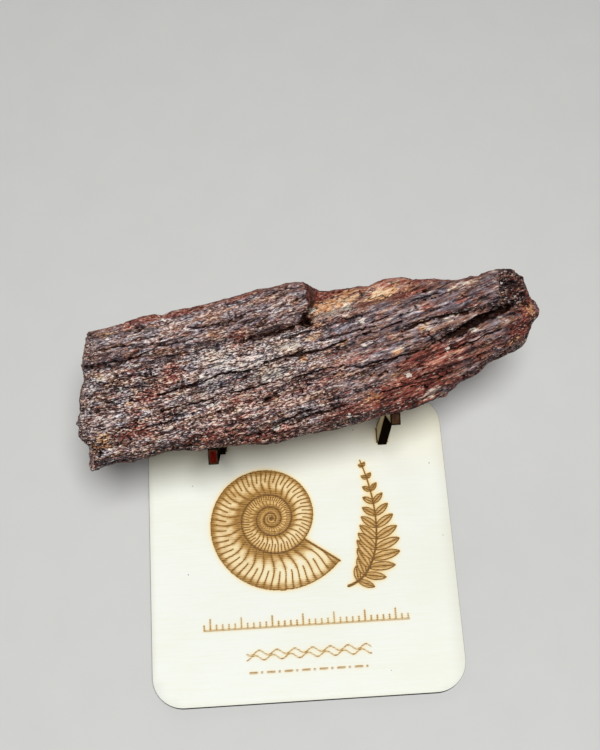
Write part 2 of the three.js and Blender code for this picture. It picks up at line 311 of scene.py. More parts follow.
# The bone has the outline and the face of its solid, with finer fibres. A point is how far it is
# along the bone and how far up its face.
bone = {
    "seat": (0, 27.9, 45.6),     # where its lower back edge crosses the plate's middle line
    "yaw": 9.27,                 # degrees from the plate's front edge
    "tilt": 28,                  # degrees that it leans back from the level
    "leftArm": -25.2,            # middles of the arms, across the plate
    "rightArm": 29.6,
    "lowerEdge": [
        (-62.3, 1), (-54.2, 2.1), (-50, 1.4), (-38.5, 2.1), (-30.3, 0.4), (-22, 0.1), (-8, -2.3),
        (0, -1.6), (11, -2.2), (22, -1), (30, -1.2), (38.4, -0.3), (45.2, 0.8), (49.7, 3.3),
        (55, 4.8), (59.2, 7.4), (65, 8.7), (69.5, 9.8), (71.6, 11.2), (73, 14.3), (75.5, 17.8),
    ],
    "upperEdge": [
        (-54.4, 41), (-47.7, 41.1), (-39.5, 42.2), (-34.5, 42.1), (-33, 41.4), (-29.6, 42.2),
        (-19.6, 42.1), (-14, 42.6), (5.3, 43.2), (9.2, 42.6), (13.8, 38.9), (16.5, 38.4),
        (28.4, 37.5), (33, 38.6), (38.5, 38.1), (40, 37.3), (52.7, 34.4), (60.6, 34.2),
        (62.6, 35), (70.6, 34.2), (74.2, 31), (75.5, 24.2),
    ],
    "leftEdge": [
        (-62.3, 1), (-62.4, 2.5), (-61.2, 8.9), (-63.6, 12.1), (-62.9, 14.4), (-63.3, 16),
        (-61.7, 18.6), (-61, 22.9), (-58.4, 28), (-58.2, 31.8), (-55.2, 39.5), (-54.4, 41),
    ],
    "noseBulge": 1.7,            # how far the narrow end stands out past its last column
    # where the columns start, break and end: along the lower edge and along the upper edge
    "ribs": [(-62.3, -54.4), (3, 8.8), (59.9, 64.8), (75.5, 75.5)],
    "breakGap": 0.5,
    # columns of points from one station to the next, even in all, and the stations' shares of the length
    "columns": (150, 4, 122, 4, 32),
    "shares": (0, 34 / 70, 34.3 / 70, 63 / 70, 63.3 / 70, 1),
    "rows": 184,                 # of points up the face, an even number
    "length": 137,               # of the face, for the roundness of its rim
    "height": 39.6,
    "rimDrop": 1.3,
    "rimWidth": 2.8,
    # how far each ring round the sides is in from the outline, and its part of the sides'
    # sinking, by its share of the height
    "rings": 21,
    "ringInset": [(0, 2.4), (0.12, 1), (0.3, 0.3), (0.54, 0), (0.76, -0.1), (0.93, 0.25), (1, 1.2)],
    "ringSink": [(0, 0), (0.12, 0.6), (0.3, 1), (0.54, 0.9), (0.76, 0.12), (0.93, 0), (1, 0)],
    "faceInset": 1.2,
    "backInset": 2.4,
    "backHeight": 0.8,
    "faceHeight": 21,
    "crown": 0.0034,             # how fast the face falls away from its middle
    "leftFall": 1.6,
    "blockRise": 1.2,            # of the upper block over the rest of the face
    "terraceDrop": 6,            # of the sunk part behind the step, and at its far end
    "terraceEndDrop": 1.5,
    "terraceSlope": 0.3,
    "terraceLine": [(6, 31.6), (20, 32.7), (34, 32.4), (44, 32.7), (53, 34.2)],
    "spineRise": 1.7,            # towards the narrow end
    "endDrop": 4.6,              # of the block at the narrow end
    "endSlope": 0.2,
    "lowerFall": 4.4,
    "tipFall": 3.4,
    # depth, half width, where each starts to fade in and over what length, points of the line
    "grooves": {
        "crevice": (3.6, 1.3, 38, 12, [(41, 17.4), (49, 18.8), (57, 21), (68, 23.4)]),
        "thin": (1.7, 0.9, -99, 1, [(34, 23.6), (46, 24.6), (63, 25)]),
        "upper": (0.8, 0.6, -99, 1, [(-60, 31.2), (-45, 31), (-40, 33.6), (-28, 34.2), (-8, 37)]),
        "break": (2.8, 1, -18, 18, [(-14, 29.6), (-6, 29.5), (1, 30.1), (8, 31.4)]),
        "middle": (1, 0.9, -99, 1, [(-6, 27.3), (10, 28.2), (24, 29.6)]),
    },
    "fibreDepth": 1.0,           # all the relief of the strands
    # depth, length, width and seed of the strands
    "strands": [(0.22, 16, 2.7, 62), (0.24, 8, 1.5, 63), (0.2, 4.6, 0.85, 64), (0.11, 2.6, 0.6, 65)],
    "crackDepth": 0.75,
    # cracks between the strands: length, width, thinness, seed
    "brokenCracks": [(12, 2.2, 0.07, 71), (8, 1.5, 0.1, 74), (5, 1.0, 0.13, 77)],
    # cracks with a place of their own: half width, then points along the line
    "cracks": [
        (0.26, (-57.5, 31), (-48, 30.5), (-41.5, 31.5), (-35.5, 33.5), (-25.5, 33.5)),
        (0.2, (-53, 36), (-42, 35.5)),
        (0.2, (-38.5, 29.5), (-28, 30)),
        (0.28, (-12.5, 29.5), (-1.5, 30), (5, 31), (8.5, 31)),
        (0.2, (-26, 37), (-19, 36), (-13, 36), (-9, 37.5), (-2, 38)),
        (0.3, (-7, 22.5), (6.5, 23)),
        (0.26, (-24.5, 21), (-19.5, 22), (-9.5, 21)),
        (0.2, (-38.5, 15), (-23.5, 15.5)),
        (0.2, (-18, 16), (-4.5, 16.5), (0.5, 17.5)),
        (0.28, (-38.5, 19.5), (-26.5, 21)),
        (0.28, (-7.5, 3.5), (0, 5.5), (3.5, 6)),
        (0.2, (-45, 11), (-34.5, 11.5)),
        (0.2, (8.5, 25.5), (26.5, 26.5)),
        (0.28, (0.5, 22.5), (8, 22.5), (13, 23.5), (17.5, 24)),
        (0.26, (28, 25), (34.5, 26)),
        (0.36, (36.5, 23.5), (44, 25), (54, 24.5)),
        (0.26, (15.5, 16), (36.5, 16), (47, 19)),
        (0.4, (44.5, 18), (50.5, 20)),
        (0.75, (50.5, 20), (54, 21.5), (62, 23)),
        (0.4, (62, 23), (68.5, 23.5)),
        (0.24, (0, 16), (10, 17), (15.5, 17)),
        (0.22, (18, 16), (24.5, 15), (34.5, 16)),
        (0.22, (24.5, 7), (40.5, 7)),
        (0.22, (35.5, 8.5), (48.5, 10)),
        (0.28, (-3, 3), (3, 4.5), (9, 4.5), (14, 5.5)),
        (0.24, (44, 14), (55, 16), (63, 18)),
    ],
    "grainHeight": 0.22,
    "poreDepth": 0.28,
    "crystalHeight": 0.3,
    # single light crystals: along, up, half length, half height
    "crystals": [
        (-48.5, 23.5, 0.7, 0.9), (-32.5, 40, 1, 0.5), (-38, 32, 0.8, 0.6), (-20.5, 24.5, 0.9, 1),
        (-25, 22.5, 1.1, 0.7), (-7, 3, 1.4, 1), (14.5, 2, 0.8, 0.7), (23, 28.5, 1, 0.8),
        (46.5, 15, 1.1, 0.9), (34, 10, 1.4, 0.9), (-54, 27, 0.9, 0.6), (10, 34, 1.3, 1.1),
        (-24, 13.5, 0.9, 0.5), (3.5, 25.5, 1.5, 0.6), (0, 25.5, 1.2, 0.6), (22.5, 21.5, 1, 0.6),
        (55, 19, 1.1, 0.6),
    ],
    # the hole at the foot of the break, and the seam across the terrace
    "hole": (7.3, 31.8),
    "holeSize": (1.6, 2.1),
    "holeDepth": 1.2,
    "seam": (25.4, 36),
    "seamWidth": 0.35,
    "seamLean": 0.12,
    "seamDepth": 0.5,
    # patches of colour on the face: along, up, half length, half height, strength
    "patches": {
        "iron": [
            (-33.5, 25.5, 3.5, 3.5, 1), (-13, 31.5, 3, 2.5, 1), (-40.5, 20.5, 4, 2.5, 0.8),
            (-46.5, 10.5, 5, 3, 0.9), (-25.5, 4, 9, 2, 1), (-12, 1, 9, 2, 1), (18.5, 17.5, 6, 1.5, 0.8),
            (21, 5, 7, 2, 0.6), (29, 7.5, 10, 2.5, 0.8), (42, 15, 9, 2.5, 1), (40.5, 8.5, 6.5, 2, 1.3),
            (31, 1, 10, 2, 1), (42, 28.5, 2, 1.5, 0.9), (69, 16.5, 4, 3, 1.3), (73.5, 21, 3, 4.5, 0.9),
            (36, 37.5, 8, 1.5, 0.9), (60, 13, 8, 2.5, 0.35), (46, 12.5, 8, 2, 0.6), (36, 5, 12, 3, 0.8),
            (12, 2, 12, 2.5, 0.7), (11.5, 37, 3, 2.5, 0.8), (70, 28, 4, 5, 0.55),
            (3, 13.5, 12, 3, 0.35), (-15, 14, 10, 2.5, 0.4), (-28, 41.5, 26, 1, 0.9),
            (55, 8, 8, 2.5, 0.2), (-20, 8, 24, 5, 0.4), (-46, 18, 13, 6, 0.25),
        ],
        "sand": [
            (14.5, 35, 4, 1, 0.9), (18, 34, 8, 1, 1.2), (22, 37, 5, 1, 0.4), (30.5, 34, 4.5, 1.5, 1.3),
            (38, 37, 5, 1, 0.5), (10, 31, 1.5, 1.5, 1), (8, 27, 3, 1, 0.9), (4.5, 21, 2, 1, 0.7),
            (15.5, 23, 2.5, 1, 0.7), (40.5, 22.5, 2.5, 1, 0.9), (73.5, 20.5, 2.5, 4, 0.7),
            (-48.5, 19.5, 3, 1.5, 0.6), (-57, 9, 4, 3, 0.8), (-53.5, 27.5, 3.5, 1.5, 0.6),
            (31.5, 17.5, 3, 1, 0.8), (23, 5.5, 4.5, 1.5, 0.6), (67.5, 13, 2.5, 1.5, 0.7),
            (-46, 38.5, 6, 2, 0.25),
        ],
        "pale": [
            (-20, 26.5, 5.5, 4, 0.9), (-6, 18.5, 4.5, 2, 1), (1.5, 26, 4.5, 1.5, 1),
            (-24.5, 18.5, 4, 2, 0.6), (-24, 13.5, 4.5, 1.5, 0.6), (-12.5, 9, 4, 1.5, 0.5),
            (10, 34, 1.5, 1, 1.2), (15.5, 32.5, 5, 1, 0.9), (20.5, 33, 2, 1, 1), (23, 28.5, 2, 1, 0.7),
            (39.5, 3, 5, 1.5, 0.9), (45, 11, 8, 0.5, 0.9), (56, 33.5, 7, 1, 0.9),
            (63.5, 29.5, 1, 4, 0.8), (49.5, 24.5, 7, 0.5, 0.8), (64, 21.5, 2.5, 1, 0.8),
            (-8, 22, 8, 2, 0.5), (26, 34, 1, 1, 0.7), (-53, 27, 3, 1.5, 0.5), (-43.5, 29, 3, 1, 0.5),
        ],
        "blue": [
            (-20, 21, 9, 6, 0.9), (39, 31.5, 4, 1, 1), (47, 32.5, 2.5, 1, 1), (52, 29, 10, 3, 0.7),
            (-26, 8, 9, 2, 0.7), (18, 27.5, 9, 3, 0.9), (-3, 35, 10, 3.5, 0.35), (63, 13.5, 5, 1, 0.7),
            (42, 20, 4, 1, 0.8), (-48, 34, 10, 2, 0.35), (4, 6, 10, 3, 0.6), (-50, 14, 6, 3, 0.5),
            (36, 27, 6, 2.5, 0.8),
        ],
        "toneAndShade": [    # darker tone than the rest, or lighter where the strength is below 0; the strips along the lower edge are painted shade
            (68.5, 28, 4.5, 6, 1.05), (52, 28, 10, 3.5, 0.85), (20, 1.5, 18, 3, 0.5),
            (60, 14, 12, 4, 0.2), (-60, 8, 4, 6, 0.4), (-40, 20, 22, 12, 0.2), (-10, 6, 25, 4, 0.25),
            (32, 5, 14, 4, 0.2), (50, 20, 8, 1.5, 0.5), (-34, 3, 16, 2.5, 0.35), (30, 27, 8, 2, 0.2),
            (-40, 29.5, 12, 1, 0.3), (12, 39, 3, 3, 0.3), (15, 36, 7, 2.5, 0.5), (70, 17, 4, 5, 0.5),
            (-30, 42.5, 30, 1, 0.3), (-6, 24, 18, 6, -0.65), (31, 36, 9, 2.5, -0.45),
            (-30, 37, 26, 3.5, -0.2), (-13, 32, 3.5, 1.5, -0.8), (34, 38, 14, 1.5, -0.5),
        ],
    },
}


# The fibres run along the bone and climb more steeply towards its narrow end.
def acrossGrain(u, v):
    return v - 0.09 * u - 0.00085 * u * u


# Full on the line, fading over width and at both ends.
def groove(line, u, v, width):
    off = (v - alongLine(line, u)) / width
    ends = smooth((u - line[0][0]) / 5 + 0.5) * smooth((line[-1][0] - u) / 5 + 0.5)
    return np.exp(-off * off) * ends


# Where a rib crosses height v of the face.
def ribLine(number, v):
    lowU, highU = bone["ribs"][number]
    low, high = alongLine(bone["lowerEdge"], lowU), alongLine(bone["upperEdge"], highU)
    return mix(lowU, highU, (v - low) / (high - low))


# Height of the front face over the flat back.
def frontHeight(u, v):
    g = acrossGrain(u, v)
    gap = bone["breakGap"]
    pastBreak = smooth((u - ribLine(1, v)) / (gap + 5 * smooth((v - 31) / 8)))
    pastEnd = smooth((u - ribLine(2, v)) / (2 * gap)) * smooth((v - 19.5) / 4)
    onTerrace = smooth((v - alongLine(bone["terraceLine"], u)) / 1.6 + 0.5)
    terrace = mix(bone["terraceDrop"], bone["terraceEndDrop"], smooth((u - 22) / 24))
    w = bone["faceHeight"] - bone["crown"] * (v - 25) ** 2
    w = w - bone["leftFall"] * smooth((-34 - u) / 30)
    w = w + bone["blockRise"] * smooth((v - 30.5) / 2) * (1 - pastBreak)
    w = w - terrace * pastBreak * onTerrace
    w = w - bone["terraceSlope"] * pastBreak * onTerrace * np.maximum(0, v - 34)
    w = w + bone["spineRise"] * smooth((u - 40) / 10) * smooth((v - 24) / 1.5) * (1 - pastEnd)
    w = w - (bone["endDrop"] + bone["endSlope"] * np.maximum(0, u - 66)) * pastEnd
    w = w - bone["lowerFall"] * smooth((u - 24) / 34) * smooth((20 - v) / 16)
    w = w - bone["tipFall"] * smooth((u - 62) / 13) * (1 - pastEnd)
    for depth, width, start, fade, line in bone["grooves"].values():
        w = w - depth * groove(line, u, v, width) * smooth((u - start) / fade)
    w = w + 0.75 * lumps(u / 24, g / 3.1, 1) + 0.45 * lumps(u / 11, g / 1.9, 2)
    return w + 0.6 * lumps(u / 10, v / 8, 3)


# How far a place on the back or the lower side is from the nearer arm.
def armDistance(u, v):
    yaw, tilt = math.radians(bone["yaw"]), math.radians(bone["tilt"])
    slant = v * math.sin(yaw) * math.cos(tilt)
    left, right = ((bone[side] + slant) / math.cos(yaw) for side in ("leftArm", "rightArm"))
    return np.minimum(abs(u - left), abs(u - right))


# The back is flat where the arms carry it and uneven between and beyond them.
def backRelief(u, v):
    free = smooth((armDistance(u, v) - 2.6) / 5)
    relief = 1.5 * lumps(u / 19, v / 12, 5) + 0.8 * lumps(u / 9, acrossGrain(u, v) / 4, 6)
    return free * (relief - 0.5)


# How far the broken sides are sunk: ledges that follow the layers, and chips.
def sideSink(along, w, seed):
    layer = np.floor(w / 4.3 + 0.8 * lumps(along / 26, 0.5 + 0 * along, seed))
    ledge = 0.5 + 0.5 * latticeValue(layer, np.floor(along / 47), seed + 1)
    return 1.5 * ledge + 1.1 * (0.5 + 0.5 * lumps(along / 6, w / 5, seed + 2))


# Each column's ends on the lower and the upper edge, and its share of the length. The stations are
# the ribs, with one more at the foot of the step and of the block.
def columnPlaces():
    start, step, block, tip = bone["ribs"]
    stepFoot, blockFoot = (tuple(u + bone["breakGap"] for u in rib) for rib in (step, block))
    stations = [start, step, stepFoot, block, blockFoot, tip]
    stations = [np.array([*ends, share]) for ends, share in zip(stations, bone["shares"])]
    places = [stations[0][None]]
    for before, after, count in zip(stations, stations[1:], bone["columns"]):
        places.append(mix(before, after, np.arange(1, count + 1)[:, None] / count))
    return np.concatenate(places).T


def gridQuads(number, flip=False):
    a, b, c, d = number[:-1, :-1], number[:-1, 1:], number[1:, 1:], number[1:, :-1]
    order = (a, d, c, b) if flip else (a, b, c, d)
    return np.stack(order, -1).reshape(-1, 4)


def ringQuads(upper, lower):
    return np.stack([lower, np.roll(lower, -1), np.roll(upper, -1), upper], -1)


# The points of the bone in its own millimetres, with its faces: front, sides, back.
def boneSurface():
    lowU, highU, s = columnPlaces()
    lowV, highV = alongLine(bone["lowerEdge"], lowU), alongLine(bone["upperEdge"], highU)
    lastI, lastJ = len(s) - 1, bone["rows"]
    (footU, footV), (headU, headV) = bone["leftEdge"][0], bone["leftEdge"][-1]
    length = bone["upperEdge"][-1][0] - footU

    # the point of column i and row j, inset by so much from the outline
    def insetPoint(i, j, inset):
        margin = np.minimum(0.4, inset / (highV[i] - lowV[i]))
        t = mix(margin, 1 - margin, j / lastJ)
        edge = alongLine(bone["leftEdge"], mix(footV, headV, t), 1)
        bulge = (edge - mix(footU, headU, t)) * (1 - s[i]) ** 8
        bulge = bulge + bone["noseBulge"] * 4 * t * (1 - t) * s[i] ** 30
        u = mix(lowU[i], highU[i], t) + bulge
        return u + inset * (1 - 2 * np.clip((u - footU) / length, 0, 1)), mix(lowV[i], highV[i], t)

    def frontPoint(i, j):
        u, v = insetPoint(i, j, bone["faceInset"])
        fromEnd = np.minimum(s[i], 1 - s[i]) * bone["length"]
        fromSide = np.minimum(j, lastJ - j) / lastJ * bone["height"]
        roundness = 1 - smooth(np.minimum(fromEnd, fromSide) / bone["rimWidth"])
        return u, v, frontHeight(u, v) - bone["rimDrop"] * roundness

    gridJ, gridI = np.meshgrid(np.arange(lastJ + 1), np.arange(lastI + 1), indexing="ij")
    front = np.stack(frontPoint(gridI, gridJ), -1).reshape(-1, 3)
    number = np.arange(len(front)).reshape(gridI.shape)
    points, quads = [front], [gridQuads(number)]

    # the sides, in rings that run anticlockwise seen from the front
    up, along = np.arange(lastJ), np.arange(lastI)
    rimI = np.concatenate([along, np.full(lastJ, lastI), lastI - along, np.zeros(lastJ, int)])
    rimJ = np.concatenate([np.zeros(lastI, int), up, np.full(lastI, lastJ), lastJ - up])
    onLower, onUpper = (rimJ == 0) & (rimI < lastI), (rimJ == lastJ) & (rimI > 0)
    top = frontPoint(rimI, rimJ)[2]
    above = number[rimJ, rimI]
    total = len(front)
    for height in 1 - np.arange(1, bone["rings"]) / bone["rings"]:
        inset, sinkShare = (alongLine(bone[key], height) for key in ("ringInset", "ringSink"))
        w = mix(bone["backHeight"], top, height)
        u, v = insetPoint(rimI, rimJ, inset)
        sink = np.where(onUpper, sideSink(u, w, 20), sideSink(v, w, 30))
        sink = np.where(onLower, sideSink(u, w, 10), sink)
        free = np.where(onLower, smooth((armDistance(u, 0) - 3) / 6), 1)
        u, v = insetPoint(rimI, rimJ, inset + sinkShare * free * sink)
        carried = onLower & (free < 1) & (w < 14)
        v = np.where(carried, mix(np.maximum(v, 0), v, free), v)
        points.append(np.stack([u, v, w], -1))
        ring = total + np.arange(len(rimI))
        quads.append(ringQuads(above, ring))
        above = ring
        total += len(ring)

    # the back takes every second column and row
    backJ, backI = gridJ[::2, ::2], gridI[::2, ::2]
    u, v = insetPoint(backI, backJ, bone["backInset"])
    onRim = (backI == 0) | (backI == lastI) | (backJ == 0) | (backJ == lastJ)
    back = np.stack([u, v, np.where(onRim, bone["backHeight"], backRelief(u, v))], -1)
    points.append(back.reshape(-1, 3))
    backNumber = total + np.arange(u.size).reshape(u.shape)
    quads.append(gridQuads(backNumber, flip=True))
    coarse = backNumber[rimJ[::2] // 2, rimI[::2] // 2]
    nextCoarse, middle, after = np.roll(coarse, -1), above[1::2], np.roll(above[::2], -1)
    fan = ((coarse, middle, above[::2]), (coarse, nextCoarse, middle), (nextCoarse, after, middle))
    triangles = np.concatenate([np.stack(corners, -1) for corners in fan])
    onFront = np.zeros(total + u.size)
    onFront[:len(front)] = 1
    return np.concatenate(points), np.concatenate(quads), triangles, onFront


def surfaceNormals(points, quads, triangles):
    normals = np.zeros_like(points)
    for faces in (quads[:, [0, 1, 2]], quads[:, [0, 2, 3]], triangles):
        a, b, c = (points[faces[:, k]] for k in range(3))
        across = np.cross(b - a, c - a)
        for k in range(3):
            for axis in range(3):
                normals[:, axis] += np.bincount(faces[:, k], across[:, axis], len(points))
    return normals / np.linalg.norm(normals, axis=1, keepdims=True)


# spot holds every point's place along the bone (u), up its face (v), out of it (w) and across
# the grain (g), whether it is on the front, and how squarely it faces the front.
def fibreNoise(spot, length, width, seed):
    return cloud((spot.u / length, spot.g / width, spot.w / width), seed)


# Cracks, sunk into the relief and darkened with painted shade: broken ones between the strands, and the
# ones that have a place of their own.
def crackShare(spot, bundles):
    crack = np.zeros_like(spot.u)
    for length, width, thin, seed in bone["brokenCracks"]:
        jagged = 0.35 * fibreNoise(spot, 2.2, 0.9, seed + 2)
        line = 1 - smooth(abs(bundles(length, width, seed) + jagged) / thin)
        there = smooth((fibreNoise(spot, 9, 3.4, seed + 1) - 0.1) / 0.3)
        crack = np.maximum(crack, line * there)
    crack *= 0.8
    uneven = 0.75 + 0.75 * fibreNoise(spot, 4.5, 3, 87)
    for halfWidth, *line in bone["cracks"]:
        apart = np.full_like(spot.u, np.inf)
        for start, end in zip(line, line[1:]):
            apart = np.minimum(apart, segmentDistance(spot.u, spot.shaky, start, end)[0])
        strength = spot.front * np.clip(uneven + halfWidth, 0, 1)
        crack = np.maximum(crack, strength * (1 - smooth(apart / halfWidth - 0.5)))
    return crack


# Crystals of five uneven sides: how far each point is inside one, and a painted light and shade for each
# facet, lighter or darker at random.
def crystalShare(spot):
    crystal, facetShading = np.zeros_like(spot.u), np.zeros_like(spot.u)
    for number, (along, up, halfLength, halfHeight) in enumerate(bone["crystals"]):
        outside = np.full_like(spot.u, -9.0)
        for side in range(5):
            turn = 1.257 * side + 6.3 * chance(number, 0, 1, 83) + 0.5 * chance(number, side, 1, 83)
            reach = (spot.u - along) / halfLength * math.cos(turn)
            reach = reach + (spot.v - up) / halfHeight * math.sin(turn)
            reach = reach / (0.6 + 0.6 * chance(number, side, 2, 83))
            nearest = (reach > outside) & (reach < 1.2)
            facetShading = np.where(nearest, chance(number, side, 3, 83), facetShading)
            outside = np.maximum(outside, reach)
        crystal = np.maximum(crystal, spot.front * smooth(4 * (1 - outside)))
    return crystal, facetShading


def holeShare(spot):
    hollowShadeShare = 0.5 * cloud((spot.u / 1.4, spot.g / 1.1, spot.w / 1.4), 84)
    across = (spot.u - bone["hole"][0]) / bone["holeSize"][0]
    upward = (spot.v - bone["hole"][1]) / bone["holeSize"][1]
    return spot.front * smooth(2.2 * (1.1 - np.sqrt(across ** 2 + upward ** 2) - hollowShadeShare))


def seamShare(spot):
    along, up = bone["seam"]
    off = (spot.u - along + bone["seamLean"] * (spot.v - up)) / bone["seamWidth"]
    return spot.front * np.exp(-off ** 2) * smooth(spot.v - up + 1.8) * smooth(up + 2 - spot.v)


def patchesAt(spot, name):
    total = np.zeros_like(spot.u)
    for along, up, halfLength, halfHeight, strength in bone["patches"][name]:
        off = spot.g - acrossGrain(along, up)
        total += strength * np.exp(-((spot.u - along) / halfLength) ** 2 - (off / halfHeight) ** 2)
    return total


# How much of each finish and of the painted shade every point has, from the patches and from the form.
def finishLayers(spot):
    u, v, w = spot.u, spot.v, spot.w
    blotch = fibreNoise(spot, 7, 3, 101) + 0.5 * fibreNoise(spot, 3, 1.4, 102)
    speckle = fibreNoise(spot, 1.6, 0.8, 103)
    frontward = smooth(spot.facing + 0.3)
    pastBreak = smooth((u - ribLine(1, v)) / 1.5) * smooth((ribLine(2, v) - 12 - u) / 12)
    terrace = pastBreak * smooth((v - alongLine(bone["terraceLine"], u)) / 1.2)
    pastEnd = smooth((u - ribLine(2, v)) / 0.8) * smooth((v - 21) / 3)
    breakFace = smooth((u - ribLine(1, v)) / 0.6) * smooth((ribLine(1, v) + 4.2 - u) / 3)
    breakFace = breakFace * smooth((v - 33) / 2) * smooth((w - 12) / 3)
    # painted shade deep in the main crevice
    creviceShade = groove(bone["grooves"]["crevice"][-1], u, spot.shaky, 0.85)
    creviceShade = smooth(2.1 * creviceShade * smooth((u - 43) / 8) * smooth((74 - u) / 5) - 0.22)
    lowRight = smooth((u - 12) / 30) * smooth((20 - v) / 8)

    iron = patchesAt(spot, "iron") * frontward + 0.18 * lowRight
    iron = iron + 0.8 * (1 - smooth(spot.facing * 1.4)) + 0.55 * terrace
    sand = patchesAt(spot, "sand") * frontward + 0.1 * terrace
    pale = patchesAt(spot, "pale") * spot.front
    blue = patchesAt(spot, "blue") * spot.front
    # painted shade in the cracks, the hole, the seam, the crevice, the pores and the low spots of the
    # relief, and on the break face
    hollowShade = spot.crack + 1.1 * spot.hole + spot.seam + 1.4 * creviceShade + 0.45 * spot.pores
    hollowShade = hollowShade + 0.25 * breakFace + 0.36 * smooth((-0.12 - spot.relief) / 0.4)
    # darker or lighter tone from the patches, a darker end block and break face, and painted shade on the
    # lower sides that face down
    toneAndShade = patchesAt(spot, "toneAndShade") + 0.6 * pastEnd + 0.9 * breakFace
    toneAndShade = toneAndShade + 1.1 * smooth(-1.6 * spot.upward - 0.1) - 0.5 * pale
    return {
        "iron": np.clip(iron + 0.3 * blotch - 0.05, 0, 1.4),
        "sand": np.clip(sand * (1 + 0.5 * blotch + 0.4 * speckle), 0, 1.4),
        "pale": np.clip(pale * (0.8 + 0.6 * blotch), 0, 1.4),
        "blue": np.clip(blue * (0.8 + 0.5 * blotch), 0, 1.2),
        "hollowShade": np.clip(hollowShade, 0, 1),
        "toneAndShade": np.clip(toneAndShade, -1, 1.8),
    }


def makeBone():
    points, quads, triangles, onFront = boneSurface()
    normals = surfaceNormals(points, quads, triangles)
    u, v, w = points.T
    spot = SimpleNamespace(u=u, v=v, w=w, g=acrossGrain(u, v), front=onFront)
    spot.facing, spot.upward = normals[:, 2], normals[:, 1]
    wander = 0.9 * cloud((u / 17, spot.g / 6, w / 6), 61)
    strandG, strandW = spot.g + wander, w + 0.7 * wander

    # strands that wander a little
    def bundles(length, width, seed):
        return cloud((u / length, strandG / width, strandW / width), seed)

    relief = sum(depth * bundles(*strand) for depth, *strand in bone["strands"])
    relief += 0.16 * fibreNoise(spot, 1.7, 1.3, 66)
    relief *= bone["fibreDepth"]
    spot.shaky = v + 0.4 * fibreNoise(spot, 4, 4, 85) + 0.34 * fibreNoise(spot, 1.3, 1.6, 86)
    spot.crack = crackShare(spot, bundles)
    proud = grains((u / 1.9, spot.g / 1.3, w / 1.3), 0.42, 0.5, 81)
    spot.pores = grains((u / 1.5, spot.g / 1.1, w / 1.1), 0.36, 0.4, 91)
    spot.pores *= 1 - 0.6 * smooth((u + 6) / 42)
    crystal, facetShading = crystalShare(spot)
    spot.hole, spot.seam = holeShare(spot), seamShare(spot)
    relief -= bone["crackDepth"] * spot.crack
    relief += bone["grainHeight"] * proud - bone["poreDepth"] * spot.pores
    relief += bone["crystalHeight"] * crystal
    relief -= bone["holeDepth"] * spot.hole
    relief -= bone["seamDepth"] * spot.seam
    held = smooth((armDistance(u, v) - 2.2) / 2) + smooth((w - 14) / 2)   # plain where arms carry it
    spot.relief = relief * np.clip(held, 0, 1)

    layers = {
        "grain": np.stack([u, spot.g, w], -1),
        "height": spot.relief,
        "crystal": crystal,
        "facetShading": facetShading,
        **finishLayers(spot),
    }
    yaw, tilt = math.radians(bone["yaw"]), math.radians(bone["tilt"])
    along = np.array([math.cos(yaw), math.sin(yaw), 0])
    level = math.cos(tilt)
    up = np.array([-math.sin(yaw) * level, math.cos(yaw) * level, math.sin(tilt)])
    turn = np.array([along, up, np.cross(along, up)])
    placed = np.array(bone["seat"]) + (points + normals * spot.relief[:, None]) @ turn
    mesh = buildMesh("fossilBone", placed, quads, triangles, layers)
    standFor(mesh, "fossil_bone", boneMaterial())


